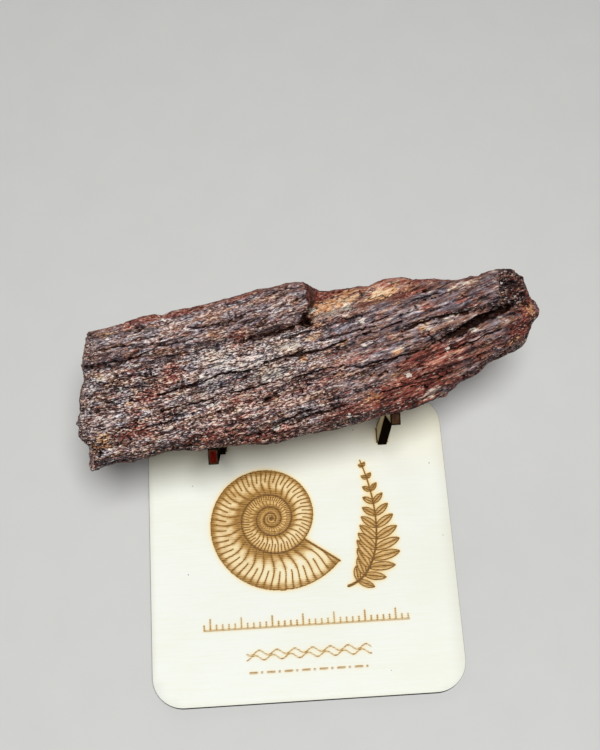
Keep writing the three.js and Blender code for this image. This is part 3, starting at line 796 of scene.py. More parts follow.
boneLook = {
    # length and width scale, detail, roughness and warp of the noises
    "noises": {
        "streams": (0.055, 0.72, 3, 0.6, 0.3),
        "strands": (0.19, 1.0, 3, 0.62, 0.4),
        "hairs": (0.46, 1.9, 2, 0.6, 0.2),
        "patches": (0.16, 0.45, 3, 0.6, 0.5),
        "hues": (0.17, 0.46, 3, 0.6, 0.5),
        "dust": (1.05, 2.9, 2, 0.7, 0),
        "glints": (1.0, 1.7, 2, 0.6, 0.6),
    },
    # cells: scale, scale of the noise that jolts them, and how far it does
    "mosaic": ((1.15, 3.1, 3.1), 1.9, (0.5, 0.8, 0.8)),
    "minerals": ((0.85, 1.3, 1.3), 1.6, (0.35, 0.35, 0.35)),
    # what makes the tone of rough and of worn bone
    "rough": {"strands": 0.34, "hairs": 0.36, "dust": 1.1, "shade": 0.26},
    "worn": {"streams": 0.5, "strands": 0.3, "hairs": 0.32, "dust": 0.14, "shade": 0.05},
    "wornFrom": -6,
    "wornTo": 36,
    "plainFrom": 29,
    "plainTo": 35,
    "plainCalm": 0.42,           # how much less the tone varies there
    "middleTone": 0.55,
    "patchTone": 0.22,           # how much the patches, the relief with its painted light and shade, and the darker tone and painted shade move the tone
    "reliefLightAndShade": 0.16,
    "toneAndShadeWeight": -0.11,
    # dark to light, by tone
    "brown": [
        (0.32, (12, 5, 3)), (0.41, (70, 38, 29)), (0.47, (112, 75, 62)), (0.53, (136, 97, 82)),
        (0.61, (166, 128, 112)), (0.68, (212, 182, 168)), (0.74, (246, 232, 220)),
    ],
    "grey": [
        (0.32, (10, 8, 10)), (0.41, (64, 52, 56)), (0.47, (102, 88, 94)), (0.53, (128, 114, 120)),
        (0.61, (156, 146, 152)), (0.68, (204, 196, 198)), (0.74, (244, 240, 238)),
    ],
    "rust": [
        (0.31, (22, 4, 2)), (0.41, (84, 28, 19)), (0.49, (128, 54, 41)), (0.57, (158, 86, 68)),
        (0.65, (192, 130, 108)), (0.75, (236, 204, 186)),
    ],
    "clay": [
        (0.31, (62, 26, 10)), (0.41, (144, 84, 50)), (0.49, (192, 132, 88)), (0.57, (216, 166, 118)),
        (0.66, (240, 212, 174)),
    ],
    "chalk": [
        (0.34, (44, 32, 30)), (0.44, (138, 118, 108)), (0.52, (196, 178, 162)), (0.6, (242, 232, 214)),
    ],
    "slate": [
        (0.31, (12, 11, 18)), (0.41, (66, 66, 80)), (0.5, (108, 110, 128)), (0.6, (146, 150, 166)),
        (0.7, (206, 210, 218)),
    ],
    # layer, ramp, what breaks up its edge, where it starts and is full, strength
    "finishes": [
        ("blue", "slate", {}, 0.15, 1.3, 1),
        ("iron", "rust", {"patches": 2.4, "strands": 1.8, "hue": 0.3}, 0.12, 0.8, 0.92),
        ("sand", "clay", {"hues": -2.2, "dust": 1.4, "hairs": 1.0, "hue": -0.35}, 0.36, 0.85, 0.92),
        ("pale", "chalk", {"hairs": 2.0, "strands": 1.4, "shade": 0.5}, 0.35, 0.95, 0.8),
    ],
    # mineral grains: which of a cell's three numbers, from what value, strength, colour
    "grains": [
        (2, 0.8, 0.65, (112, 42, 34)), (1, 0.86, 0.6, (190, 128, 84)), (0, 0.9, 0.45, (226, 210, 196)),
    ],
    # pale specks that are partly pale crystals and partly painted glints
    "speckGlint": (234, 224, 216),
    # painted light and shade of the crystals' facets, from shaded to lit
    "facetShaded": (196, 180, 164),
    "facetLit": (252, 246, 234),
    # hairline cracks: length and width scale, thinness, where the patches let them show
    "hairlines": [(0.085, 0.6, 0.03, 0.5), (0.15, 1.05, 0.045, 0.52)],
    "hairline": (24, 11, 8),
    # colours of the painted shade in the cracks, the hole and the crevice, from dark to light
    "hollowShadeDark": (12, 5, 3),
    "hollowShadeLight": (46, 25, 18),
    "shine": 0.28,
    "bumpDepth": 0.45,
    "bumpStrength": 0.85,
}


# Thin dark lines that follow the fibres, where the patches are high enough.
def hairlineShare(place, patches):
    share = None
    for length, width, thin, gate in boneLook["hairlines"]:
        lines = noiseOf(stretched(place, (length, width, width)), 2, 0.5, 0.2)
        off = addNode("Math", {0: minus(lines, 0.5)}, operation="ABSOLUTE").outputs[0]
        line = times(between(off, thin, thin * 0.3), between(patches, gate - 0.05, gate + 0.05))
        share = addNode("Math", {0: share, 1: line}, operation="MAXIMUM").outputs[0] if share else line
    return share


def boneMaterial():
    material, tree = startMaterial("mineralised bone")
    place = layerOf(tree, "grain", "Vector")
    layerNames = ("iron", "sand", "pale", "blue", "hollowShade", "toneAndShade", "height", "crystal", "facetShading")
    layer = {name: layerOf(tree, name) for name in layerNames}
    noise = {}
    for name, (length, width, *settings) in boneLook["noises"].items():
        noise[name] = noiseOf(stretched(place, (length, width, width)), *settings)
    _, mosaic = cellsOf(place, *boneLook["mosaic"])     # small angular grains, each with a shade and hue
    noise["shade"], noise["hue"] = mosaic[0], mosaic[1]

    def swayed(total, weights):
        return weighed(total, *((noise[name], weight) for name, weight in weights.items()))

    # the narrow end is smoother, with longer fibres, and the upper block is more even
    parts = addNode("SeparateXYZ", {"Vector": place}).outputs
    worn = between(parts[0], boneLook["wornFrom"], boneLook["wornTo"])
    worn = times(worn, between(layer["toneAndShade"], 1.5, 0.7))
    plain = between(parts[1], boneLook["plainFrom"], boneLook["plainTo"])
    tone = times(swayed(0.0, boneLook["rough"]), minus(1.0, worn))
    tone = plus(tone, times(swayed(0.0, boneLook["worn"]), worn))
    tone = times(tone, weighed(0.95, (plain, -boneLook["plainCalm"])))
    tone = plus(swayed(boneLook["middleTone"], {"patches": boneLook["patchTone"]}), tone)
    # painted light on the raised relief and painted shade in its hollows
    tone = plus(tone, times(layer["height"], boneLook["reliefLightAndShade"]))
    # darker tone from the patches, with painted shade on the lower sides
    tone = plus(tone, times(layer["toneAndShade"], boneLook["toneAndShadeWeight"]))

    greyness = between(swayed(noise["hues"], {"hue": 0.07}), 0.38, 0.64)
    colour = tint(greyness, rampOf(tone, boneLook["brown"]), rampOf(tone, boneLook["grey"]))
    for name, ramp, weights, low, high, strength in boneLook["finishes"]:
        share = between(swayed(layer[name], weights), low, high)
        colour = tint(share, colour, rampOf(tone, boneLook[ramp]), strength)

    distance, kinds = cellsOf(place, *boneLook["minerals"])
    core = times(between(swayed(distance, {"dust": -0.5}), 0.34, 0.16), between(worn, 1.6, 0.2))
    for part, low, strength, grain in boneLook["grains"]:
        colour = tint(times(core, between(kinds[part], low, low + 0.05)), colour, paint(*grain), strength)
    # pale specks, partly pale crystals and partly painted glints
    speckGlintCluster = between(plus(noise["glints"], times(layer["pale"], 0.07)), 0.62, 0.7)
    speckGlint = times(times(speckGlintCluster, between(worn, 1.2, 0.1)), between(plain, 1.4, 0.0))
    colour = tint(speckGlint, colour, paint(*boneLook["speckGlint"]), 0.75)
    # painted light and shade on each facet of the crystals
    facetShading = tint(layer["facetShading"], paint(*boneLook["facetShaded"]), paint(*boneLook["facetLit"]))
    crystal = between(swayed(layer["crystal"], {"dust": 2.6, "shade": 0.7}), 0.45, 0.85)
    colour = tint(crystal, colour, facetShading)

    hairline = hairlineShare(place, noise["patches"])
    colour = tint(hairline, colour, paint(*boneLook["hairline"]), 0.85)
    # painted shade in the cracks, the hole and the crevice, its depth varying from grain to grain
    hollowShadeShare = between(swayed(layer["hollowShade"], {"hairs": 1.6, "dust": 1.2}), 0.22, 0.85)
    hollowShadeShare = times(hollowShadeShare, weighed(0.84, (plain, -0.2)))
    hollowShadeColours = [paint(*boneLook[name]) for name in ("hollowShadeDark", "hollowShadeLight")]
    colour = tint(hollowShadeShare, colour, tint(between(noise["shade"], 0.3, 0.95), *hollowShadeColours))

    bump = swayed(0.5, {"hairs": 0.9, "dust": 0.6, "glints": 0.3})
    bump = times(weighed(bump, (hairline, -0.5)), weighed(1.0, (worn, -0.4)))
    shine = times(minus(1.0, hollowShadeShare), boneLook["shine"])       # no shine in the cracks
    roughness = roughnessOf(noise["glints"], 0.35, 0.7, 0.8, 0.4)
    finishMaterial(colour, roughness, bump, boneLook["bumpDepth"], boneLook["bumpStrength"], shine)
    return material


makeBone()

# The plate is laser-cut ply with a burnt-in picture.
plate = {
    "side": 100,
    "corner": 10,
    "thick": 3,
    "edge": 0.15,            # softened edge
    "cornerSteps": 14,
    "sideSteps": 32,
    "glueLines": (2, 1),     # heights of the two shallow grooves in the cut edge
    "glueDepth": 0.05,
    "glueHalf": 0.1,
    "slots": ((-25.2, 36.5), (29.6, 36.5)),
    "slotWide": 3.4,
    "slotLong": 5.0,
    "slotSteps": 6,
    "slotRings": (0.35, 0.8, 1.5, 2.4),    # rings of points round a slot, for its scorched halo
    "slotClear": (4.5, 5.2),               # the bare ground's own points keep this far off
    "spacing": 3,            # of the points of the bare ground
    "picture": (-31, 35, -17, 31),         # x from, x to, y from, y to
    "pictureStep": 0.22,
    "rules": (-36.5, 37, -43.5, -20.5),
    "rulesStep": 0.33,
    "burnDepth": 0.1,
    "line": 0.3,             # half width of a burnt line
    "haloNear": 0.45,        # how far the scorching spreads
    "haloFar": 1.6,
    "haloShare": 0.9,
    "slotGlow": 0.55,
    "slotGlowWide": 0.8,
    "edgeGlow": 0.12,
    "edgeGlowWide": 0.5,
}

ammonite = {
    "centre": (-9.6, 9.6),
    "radius": 26.8,
    "growth": 2.05,          # how much wider each turn is than the one inside it
    "mouth": -0.62,          # angle of the open end
    "turns": 4,
    "ribs": 30,
}

fern = {
    "stem": ((14.5, -14.5), (27, -11), (27.5, 10), (21.5, 28)),
    "stemSteps": 40,
    "leaflets": 12,          # on each side
    "firstAt": 0.1,          # shares of the stem
    "lastAt": 0.96,
    "longest": 9.0,
    "sides": ((-1, 1), (1, 0.86)),         # which way, and their share of the length
    "lean": 62,              # degrees from the stem at its foot
    "leanLost": 14,          # from there to its tip
}

# A ruler with a tick every two millimetres, two wavy lines, and a row of dashes and dots.
ruler = {
    "y": -26.2,
    "half": 33.4,            # of its length
    "burn": 0.52,
    "firstTick": -33,
    "ticks": 34,
    "tickStep": 2,
    "tall": 3.6,             # every fifth tick
    "short": 1.7,
    "tickBurn": 0.58,
    "waveY": -34.2,
    "waveShifts": (0, 1.5),
    "waveHeight": 0.75,
    "waveTurn": 1.1,
    "waveHalf": 20,
    "dashY": -40.4,
    "dashFrom": -19.4,
    "dashStep": 5.6,
    "dashAt": 1.6,           # middle of the dash and of the dot within each step
    "dotAt": 4.3,
    "dashLong": 1.1,         # half its length
    "dashHalf": 19.9,
    "dashBurn": 0.57,        # and the waves'
}


def stroke(distance, halfWidth):
    return 1 - smooth((distance - halfWidth * 0.45) / (halfWidth * 1.1))


# How strongly the ammonite is burnt at each point, and where it covers the ground.
def ammoniteBurn(x, y):
    centre, outer, mouth = np.array(ammonite["centre"]), ammonite["radius"], ammonite["mouth"]
    dx, dy = x - centre[0], y - centre[1]
    growth = math.log(ammonite["growth"])
    angle = (np.arctan2(dy, dx) - mouth) % (2 * math.pi) / (2 * math.pi)
    radius = np.maximum(np.hypot(dx, dy), 0.05)
    depth = np.log(outer / radius) / growth + angle - 1     # turns in from the mouth
    turn = np.floor(depth)
    across = depth - turn                      # 0 on the outer line of a whorl, 1 on its inner line
    inside = (turn >= 0) & (turn < ammonite["turns"])
    whorlWide = radius * growth
    line = np.minimum(across, 1 - across) * whorlWide
    swing = 0.16 * (across - 0.5) ** 2 + 0.05 * np.sin(across * math.pi)
    split = np.where(across < 0.42, 2.0, 1.0)            # ribs part in two towards the outer line
    ribGap = abs(((turn - angle + swing) * ammonite["ribs"] * split) % 1 - 0.5) * 2
    ribEdge = (1 - ribGap) * 2 * math.pi * radius / ammonite["ribs"] / split / 2
    faint = 0.55 + 0.45 * np.clip(whorlWide / 5, 0, 1)
    ribs = faint * 0.9 * stroke(ribEdge, plate["line"] * 0.7) * smooth(whorlWide / 1.6)
    burn = np.maximum(stroke(line, plate["line"] * 1.15), ribs)
    # the tone of a lit round tube: dark towards both seams and between the ribs
    rounded = 0.62 * smooth((across - 0.5) / 0.5) + 0.5 * smooth((0.2 - across) / 0.2)
    side = 0.12 * np.sin(np.arctan2(dy, dx) + 2.4)
    patchy = 0.14 * lumps(x / 3.1, y / 1.7, 7) + 0.1 * lumps(x / 1.1, y / 0.8, 8)
    shade = 0.16 + rounded + 0.28 * smooth((ribGap - 0.35) / 0.6) - side + patchy
    burn = np.maximum(burn, np.clip(shade, 0.06, 0.68))
    middle = np.where(turn >= ammonite["turns"], 0.75 * smooth((1.0 - radius) / 0.6) + 0.35, 0)
    burn = np.where(inside, burn, middle)
    # the line across the open end
    ray = np.array([math.cos(mouth), math.sin(mouth)])
    gap, _ = segmentDistance(x, y, centre + ray * outer, centre + ray * outer / ammonite["growth"])
    return np.maximum(burn, stroke(gap, plate["line"] * 1.2)), inside | (gap < 0.6)


def bezier(points, k):
    a, b, c, d = (np.array(p, float) for p in points)
    return (1 - k) ** 3 * a + 3 * (1 - k) ** 2 * k * b + 3 * (1 - k) * k * k * c + k ** 3 * d


# A leaflet from foot to tip: its burn, and how far inside its outline each point is.
def leafletBurn(x, y, foot, tip, length):
    gap, share = segmentDistance(x, y, foot, tip)
    wide = (0.13 * length + 0.3) * np.sin(np.clip(share * 0.94 + 0.05, 0, 1) * math.pi) ** 0.6
    inside = smooth((wide - gap) / 0.25)
    ribShade = 0.3 + 0.25 * smooth(1 - gap / 0.9) + 0.14 * lumps(x / 1.4, y / 1.4, 9)
    leaf = np.maximum(inside * ribShade, 0.92 * stroke(abs(gap - wide), plate["line"] * 0.75))
    leaf = np.maximum(leaf, inside * 0.95 * stroke(gap, plate["line"] * 0.7))
    return leaf, inside, gap < wide + 0.8


def fernBurn(x, y):
    burn = np.zeros_like(x)
    for n in range(fern["leaflets"]):
        k = mix(fern["firstAt"], fern["lastAt"], n / (fern["leaflets"] - 1))
        foot, ahead = bezier(fern["stem"], k), bezier(fern["stem"], k + 0.02)
        heading = math.atan2(*(ahead - foot)[::-1])
        length = fern["longest"] * (0.5 + 0.5 * smooth(k / 0.35)) * (1 - 0.86 * smooth((k - 0.3) / 0.75))
        for side, share in fern["sides"]:
            lean = heading + side * math.radians(fern["lean"] - fern["leanLost"] * k)
            tip = foot + length * share * np.array([math.cos(lean), math.sin(lean)])
            leaf, inside, near = leafletBurn(x, y, foot, tip, length)
            burn = np.where(near, np.maximum(burn * (1 - 0.6 * inside), leaf), burn)
    stem = [bezier(fern["stem"], n / fern["stemSteps"]) for n in range(fern["stemSteps"] + 1)]
    for n, (start, end) in enumerate(zip(stem, stem[1:]), 1):
        gap, _ = segmentDistance(x, y, start, end)
        burn = np.maximum(burn, stroke(gap, plate["line"] * (1.5 - 0.8 * n / fern["stemSteps"])))
    return burn


def rulesBurn(x, y):
    line = plate["line"]
    burn = ruler["burn"] * stroke(abs(y - ruler["y"]), line) * (abs(x) < ruler["half"])
    for n in range(ruler["ticks"]):
        at = ruler["firstTick"] + ruler["tickStep"] * n
        top = ruler["y"] + (ruler["tall"] if n % 5 == 1 else ruler["short"])
        gap, _ = segmentDistance(x, y, (at, ruler["y"]), (at, top))
        burn = np.maximum(burn, ruler["tickBurn"] * stroke(gap, line))
    for shift in ruler["waveShifts"]:
        wave = ruler["waveY"] - shift + ruler["waveHeight"] * np.sin(x * ruler["waveTurn"] + shift)
        wave = stroke(abs(y - wave), line) * (abs(x - 0.3) < ruler["waveHalf"])
        burn = np.maximum(burn, ruler["dashBurn"] * wave)
    along = (x - ruler["dashFrom"]) % ruler["dashStep"]
    below = y - ruler["dashY"]
    pastDash = np.maximum(abs(along - ruler["dashAt"]) - ruler["dashLong"], 0)
    dashes = stroke(np.hypot(pastDash, below), line * 1.3)
    dots = stroke(np.hypot(along - ruler["dotAt"], below), line * 1.5)
    row = np.maximum(dashes, dots) * (abs(x - 0.2) < ruler["dashHalf"])
    return np.maximum(burn, ruler["dashBurn"] * row)


def blurred(field, radius):
    reach = int(radius * 3)
    weights = np.exp(-0.5 * (np.arange(-reach, reach + 1) / radius) ** 2)
    weights /= weights.sum()
    for axis in (0, 1):
        field = np.apply_along_axis(lambda row: np.convolve(row, weights, "same"), axis, field)
    return field


def roundedOutline(inset):
    half, radius, steps = plate["side"] / 2 - inset, plate["corner"] - inset, plate["cornerSteps"]
    arcs = []
    for k, (signX, signY) in enumerate([(1, -1), (1, 1), (-1, 1), (-1, -1)]):
        centre = np.array([signX, signY]) * (half - radius)
        angles = [(k - 1) * math.pi / 2 + math.pi / 2 * n / steps for n in range(steps + 1)]
        arcs.append(centre + radius * np.array([(math.cos(a), math.sin(a)) for a in angles]))
    share = np.arange(1, plate["sideSteps"])[:, None] / plate["sideSteps"]
    sides = [mix(arc[-1], following[0], share) for arc, following in zip(arcs, arcs[1:] + arcs[:1])]
    return np.concatenate([part for pair in zip(arcs, sides) for part in pair])


def slotOutline(centre, grow=0.0):
    half = np.array([plate["slotWide"], plate["slotLong"]]) / 2 + grow
    corners = half * [(-1, -1), (1, -1), (1, 1), (-1, 1)]
    share = np.arange(plate["slotSteps"])[:, None] / plate["slotSteps"]
    sides = [mix(start, end, share) for start, end in zip(corners, np.roll(corners, -1, 0))]
    return np.concatenate(sides) + centre


def insideLoop(points, loop):
    inside = np.zeros(len(points), bool)
    for (x0, y0), (x1, y1) in zip(loop, np.roll(loop, -1, 0)):
        crosses = (y0 > points[:, 1]) != (y1 > points[:, 1])
        if y0 != y1:
            at = x0 + (points[:, 1] - y0) / (y1 - y0) * (x1 - x0)
            inside ^= crosses & (points[:, 0] < at)
    return inside


# Fills the flat ground between an outline and its holes, by way of the loose points.
def fillBetween(outer, holes, loose):
    points, edges = [], []
    for loop in [outer, *holes]:
        start = len(points)
        points += [Vector(p) for p in loop]
        edges += [(start + n, start + (n + 1) % len(loop)) for n in range(len(loop))]
    made = delaunay_2d_cdt(points + [Vector(p) for p in loose], edges, [], 0, 1e-6)
    flat, faces = np.array([tuple(p) for p in made[0]]), np.array(made[2])
    middle = flat[faces].mean(1)
    keep = insideLoop(middle, outer)
    for hole in holes:
        keep &= ~insideLoop(middle, hole)
    return flat, faces[keep]


def denseGrid(box, step):
    x0, x1, y0, y1 = box
    countX, countY = round((x1 - x0) / step), round((y1 - y0) / step)
    x, y = np.meshgrid(np.linspace(x0, x1, countX + 1), np.linspace(y0, y1, countY + 1))
    number = np.arange(x.size).reshape(x.shape)
    rim = np.concatenate([number[0, :-1], number[:-1, -1], number[-1, :0:-1], number[:0:-1, 0]])
    return x, y, gridQuads(number), rim


def pictureBurn(x, y):
    shell, onShell = ammoniteBurn(x, y)
    return np.where(onShell, shell, np.maximum(shell, fernBurn(x, y)))


# The two engraved fields, as fine grids: points, burn, glow, faces and the points of their rims.
def engravedFields():
    points, burns, glows, quads, rims = [], [], [], [], []
    start = 0
    for box, burnAt in (("picture", pictureBurn), ("rules", rulesBurn)):
        step = plate[box + "Step"]
        x, y, faces, rim = denseGrid(plate[box], step)
        burn = burnAt(x, y)
        near, far = (blurred(burn, plate[halo] / step) for halo in ("haloNear", "haloFar"))
        glow = np.clip(near * plate["haloShare"] + far * plate["haloShare"], 0, 1)
        height = plate["thick"] - plate["burnDepth"] * np.clip(burn, 0, 1)
        points.append(np.stack([x, y, height], -1).reshape(-1, 3))
        burns.append(burn.ravel())
        glows.append(glow.ravel())
        quads.append(start + faces)
        rims.append(start + rim)
        start += x.size
    return np.concatenate(points), np.concatenate(burns), np.concatenate(glows), quads, rims


# Loose points that keep the triangles of the bare ground small, closer together round the slots.
def loosePoints():
    reach = plate["side"] / 2 - 2
    spacing = np.arange(-reach, reach + 0.1, plate["spacing"])
    loose = np.stack(np.meshgrid(spacing, spacing), -1).reshape(-1, 2)
    loose = loose[insideLoop(loose, roundedOutline(2.0))]
    for box in ("picture", "rules"):
        x0, x1, y0, y1 = plate[box]
        x, y = loose.T
        loose = loose[(x < x0 - 1) | (x > x1 + 1) | (y < y0 - 1) | (y > y1 + 1)]
    rings = []
    for centre in plate["slots"]:
        loose = loose[(abs(loose - centre) > plate["slotClear"]).any(1)]
        rings += [slotOutline(centre, grow) for grow in plate["slotRings"]]
    return np.concatenate([loose, *rings])


# The same place always has the same key, so that pieces of a surface share their points.
def placeKey(point):
    return tuple(np.round(point[:2], 3))


def numbersOf(loop, numberAt):
    return np.array([numberAt[placeKey(p)] for p in loop])


# Scorched halos round the slots and along the edge, and the char of everything cut.
def scorch(points, fieldCount, glow):
    x, y, z = points.T
    char = (z < plate["thick"] - 0.5 * plate["edge"]).astype(float)
    char[:fieldCount] = 0
    for slotX, slotY in plate["slots"]:
        gapX = np.maximum(abs(x - slotX) - plate["slotWide"] / 2, 0)
        gapY = np.maximum(abs(y - slotY) - plate["slotLong"] / 2, 0)
        gap = np.hypot(gapX, gapY)
        char = np.where(gap < 0.01, 1, char)
        halo = plate["slotGlow"] * np.exp(-(gap / plate["slotGlowWide"]) ** 2)
        glow = np.maximum(glow, halo * (gap > 0.01))
    edgeGap = plate["side"] / 2 - np.maximum(abs(x), abs(y))
    halo = plate["edgeGlow"] * np.exp(-(edgeGap / plate["edgeGlowWide"]) ** 2)
    return char, np.maximum(glow, halo)


def makePlate():
    thick, edge = plate["thick"], plate["edge"]
    fields, fieldBurn, fieldGlow, quads, rims = engravedFields()

    # the ground between the fields, the slots and the outline
    outline = roundedOutline(edge)
    slotLoops = [slotOutline(centre) for centre in plate["slots"]]
    holes = [fields[rim][:, :2] for rim in rims] + slotLoops
    flat, faces = fillBetween(outline, holes, loosePoints())
    numberAt = {placeKey(fields[n]): n for n in np.concatenate(rims)}
    added = []
    for p in flat:
        if placeKey(p) not in numberAt:
            numberAt[placeKey(p)] = len(fields) + len(added)
            added.append((*p, thick))
    points = [fields, np.array(added)]

    def addRing(loop, z):
        start = sum(len(block) for block in points)
        points.append(np.column_stack([loop, np.full(len(loop), z)]))
        return start + np.arange(len(loop))

    # the cut edge, and the walls of the slots
    steps = [(0, thick - edge)]
    for glue in plate["glueLines"]:
        half = plate["glueHalf"]
        steps += [(0, glue + half), (plate["glueDepth"], glue), (0, glue - half)]
    above = numbersOf(outline, numberAt)
    for inset, z in (*steps, (0, edge), (edge, 0)):
        ring = addRing(roundedOutline(inset), z)
        quads.append(ringQuads(above, ring))
        above = ring
    under = [above]
    for loop in slotLoops:
        under.append(addRing(loop, 0))
        quads.append(ringQuads(under[-1], numbersOf(loop, numberAt)))

    # the underside
    everything = np.concatenate(points)
    loops = [everything[ring][:, :2] for ring in under]
    underFlat, underFaces = fillBetween(loops[0], loops[1:], [])
    underAt = {placeKey(everything[n]): n for n in np.concatenate(under)}
    topTriangles = numbersOf(flat, numberAt)[faces]
    triangles = np.concatenate([topTriangles, numbersOf(underFlat, underAt)[underFaces][:, ::-1]])

    burn, glow = np.zeros(len(everything)), np.zeros(len(everything))
    burn[:len(fields)], glow[:len(fields)] = fieldBurn, fieldGlow
    char, glow = scorch(everything, len(fields), glow)
    layers = {"burn": burn, "glow": glow, "char": char, "flat": everything}
    mesh = buildMesh("standPlate", everything, np.concatenate(quads), triangles, layers)
    standFor(mesh, "base_plate", plyMaterial("engraved ply", True))


plyLook = {
    "face": (245, 248, 239),
    "faceWarm": (242, 244, 231),
    "warmShadeFromBone": (238, 228, 196),        # painted warm shade and bounce light from the bone, towards the rear of the plate
    "armFace": (234, 222, 190),
    "armFaceWarm": (214, 194, 150),
    "pore": (206, 186, 140),
    "smoke": (150, 112, 66),
    "halo": (251, 223, 144),
    "glow": (224, 168, 76),
    "burn": (166, 120, 46),
    "burnDeep": (78, 48, 12),
    "warmShadeFrom": 14,                     # where the painted warm shade starts and is full, from the plate's centre
    "warmShadeTo": 44,
    "scanPitch": 0.62,                 # of the burning laser's lines
    "scanShare": 0.22,                 # how much they and the grit unsettle the burnt tone
    "gritShare": 1.1,
    # scale, detail, roughness and warp of the noises
    "noises": {
        "streaks": ((0.07, 1.6, 1.0), 4, 0.6, 0.2),
        "pores": ((0.5, 5.0, 3.0), 3, 0.6),
        "clouds": ((0.03, 0.06, 0.06), 2, 0.5),
        "soot": ((0.9, 0.9, 1.6), 4, 0.65),
        "grit": ((0.8, 2.4, 1.0), 3, 0.65),
    },
    "cut": [(0.3, (6, 4, 3)), (0.5, (15, 10, 7)), (0.7, (40, 26, 17))],
    "redCut": [(0.3, (38, 4, 2)), (0.5, (66, 9, 5)), (0.7, (92, 24, 14))],
    "brownCut": [(0.3, (34, 22, 14)), (0.5, (58, 40, 28)), (0.7, (84, 60, 42))],
    # dark specks on the plate: x, y, radius
    "specks": [
        (44.9, 25.6, 0.3), (20.1, 38.9, 0.28), (-37.6, -7.6, 0.3), (-35.3, 22.4, 0.25),
        (47, 0.5, 0.22), (26, -42.3, 0.22),
    ],
    "speck": (70, 55, 40),
    "bumpDepth": 0.05,
    "bumpStrength": 0.35,
    "shine": 0.3,                      # of the plate; the arms have none
}


def plyPaint(name):
    return paint(*plyLook[name])


def plyNoise(name, place):
    scale, *settings = plyLook["noises"][name]
    return noiseOf(stretched(place, scale), *settings)


# Painted warm shade from the bone towards the rear, then the burnt picture over the bare face: pale halo,
# scorch, and brown lines with the laser's scanning.
def engraving(tree, place, colour):
    burn, glow = layerOf(tree, "burn"), layerOf(tree, "glow")
    rearward = addNode("SeparateXYZ", {"Vector": place}).outputs[1]
    # painted warm shade and bounce light from the bone towards the rear of the plate
    top = between(rearward, plyLook["warmShadeFrom"], plyLook["warmShadeTo"])
    colour = tint(top, colour, plyPaint("warmShadeFromBone"), 0.45)
    colour = tint(between(glow, 0.0, 0.55), colour, plyPaint("halo"), 0.62)
    colour = tint(between(glow, 0.3, 1.1), colour, plyPaint("glow"), 0.7)
    turn = times(rearward, 2 * math.pi / plyLook["scanPitch"])
    scan = times(addNode("Math", {0: turn}, operation="SINE").outputs[0], plyLook["scanShare"])
    grit = times(minus(plyNoise("grit", place), 0.5), plyLook["gritShare"])
    marked = times(burn, plus(plus(scan, grit), 1.0))
    colour = tint(between(marked, 0.1, 0.72), colour, plyPaint("burn"))
    colour = tint(between(marked, 0.6, 1.0), colour, plyPaint("burnDeep"), 0.8)
    for x, y, radius in plyLook["specks"]:
        inputs = {0: place, 1: (x, y, plate["thick"])}
        apart = addNode("VectorMath", inputs, operation="DISTANCE").outputs["Value"]
        colour = tint(between(apart, radius, radius * 0.4), colour, plyPaint("speck"), 0.7)
    return colour


# The ply of the stand. The plate is engraved; the arms have smoke and the core of the ply instead.
def plyMaterial(name, engraved):
    material, tree = startMaterial(name)
    place = layerOf(tree, "flat", "Vector")
    streaks, pores = plyNoise("streaks", place), plyNoise("pores", place)
    clouds, soot = plyNoise("clouds", place), plyNoise("soot", place)
    warm = between(plus(times(streaks, 0.6), times(clouds, 0.5)), 0.42, 0.72)
    face, warmFace = ("face", "faceWarm") if engraved else ("armFace", "armFaceWarm")
    colour = tint(warm, plyPaint(face), plyPaint(warmFace))
    colour = tint(between(pores, 0.62, 0.75), colour, plyPaint("pore"), 0.1)
    cut = rampOf(soot, plyLook["cut"])
    if engraved:
        colour = engraving(tree, place, colour)
    else:
        core, smoke = layerOf(tree, "core"), layerOf(tree, "smoke")
        cut = tint(between(core, 0.0, 0.4), cut, rampOf(soot, plyLook["brownCut"]))
        cut = tint(between(core, 0.6, 1.0), cut, rampOf(soot, plyLook["redCut"]))
        colour = tint(smoke, colour, plyPaint("smoke"), 0.55)
    charred = plus(layerOf(tree, "char"), times(minus(soot, 0.5), 0.35))
    colour = tint(between(charred, 0.3, 0.75), colour, cut)
    height = plus(times(pores, 0.5), times(streaks, 0.5))
    roughness = roughnessOf(pores, 0.3, 0.7, 0.5, 0.72)
    shine = plyLook["shine"] if engraved else 0.0
    finishMaterial(colour, roughness, height, plyLook["bumpDepth"], plyLook["bumpStrength"], shine)
    return material


makePlate()

# The arms are the CAD arms with softened edges and charred borders; the left one also has soot and
# painted shade on its inner side.
arm = {
    "char": 0.38,            # width of the scorched border on the side faces
    "fade": 0.25,            # from there to the brown smoke
    "smoke": 1.0,            # width of the smoke's fading
    "soften": 0.12,
    "softenSteps": 2,
    "coreInset": 0.6,
    "lean": 0.31,            # how far the front edge comes forward for each millimetre up
    "sootAndShadeEnd": 38.5,         # how far soot and painted shade on the left arm's inner side reach, to the rear of the plate's centre
    "sootAndShadeFade": 3,
    "sideArea": 20,          # square millimetres: smaller faces aren't sides
    "cutArea": 6,
    "lipReach": 40,          # the lip is no further below the arm's top
}


# The scorched border of the two sides, in three bands, and along the front of the right one soot with
# painted shade where the bone shades it.
def charSides(shape, sides, char, smoke, soot):
    for band in ("char", "fade", "smoke"):
        bmesh.ops.inset_region(shape, faces=sides, thickness=arm[band] * mm, use_even_offset=True)
        for face in sides:
            for vert in face.verts:
                vert[char] = 1 if band == "char" else 0
                vert[smoke] = 0 if band == "smoke" else 1
                # soot, and painted shade where the bone shades the inner side of the left arm
                if face.normal.x > 0:
                    behind = (vert.co.y + arm["lean"] * vert.co.z) / mm - arm["sootAndShadeEnd"]
                    vert[char] = max(vert[char], soot * smooth(-behind / arm["sootAndShadeFade"]))


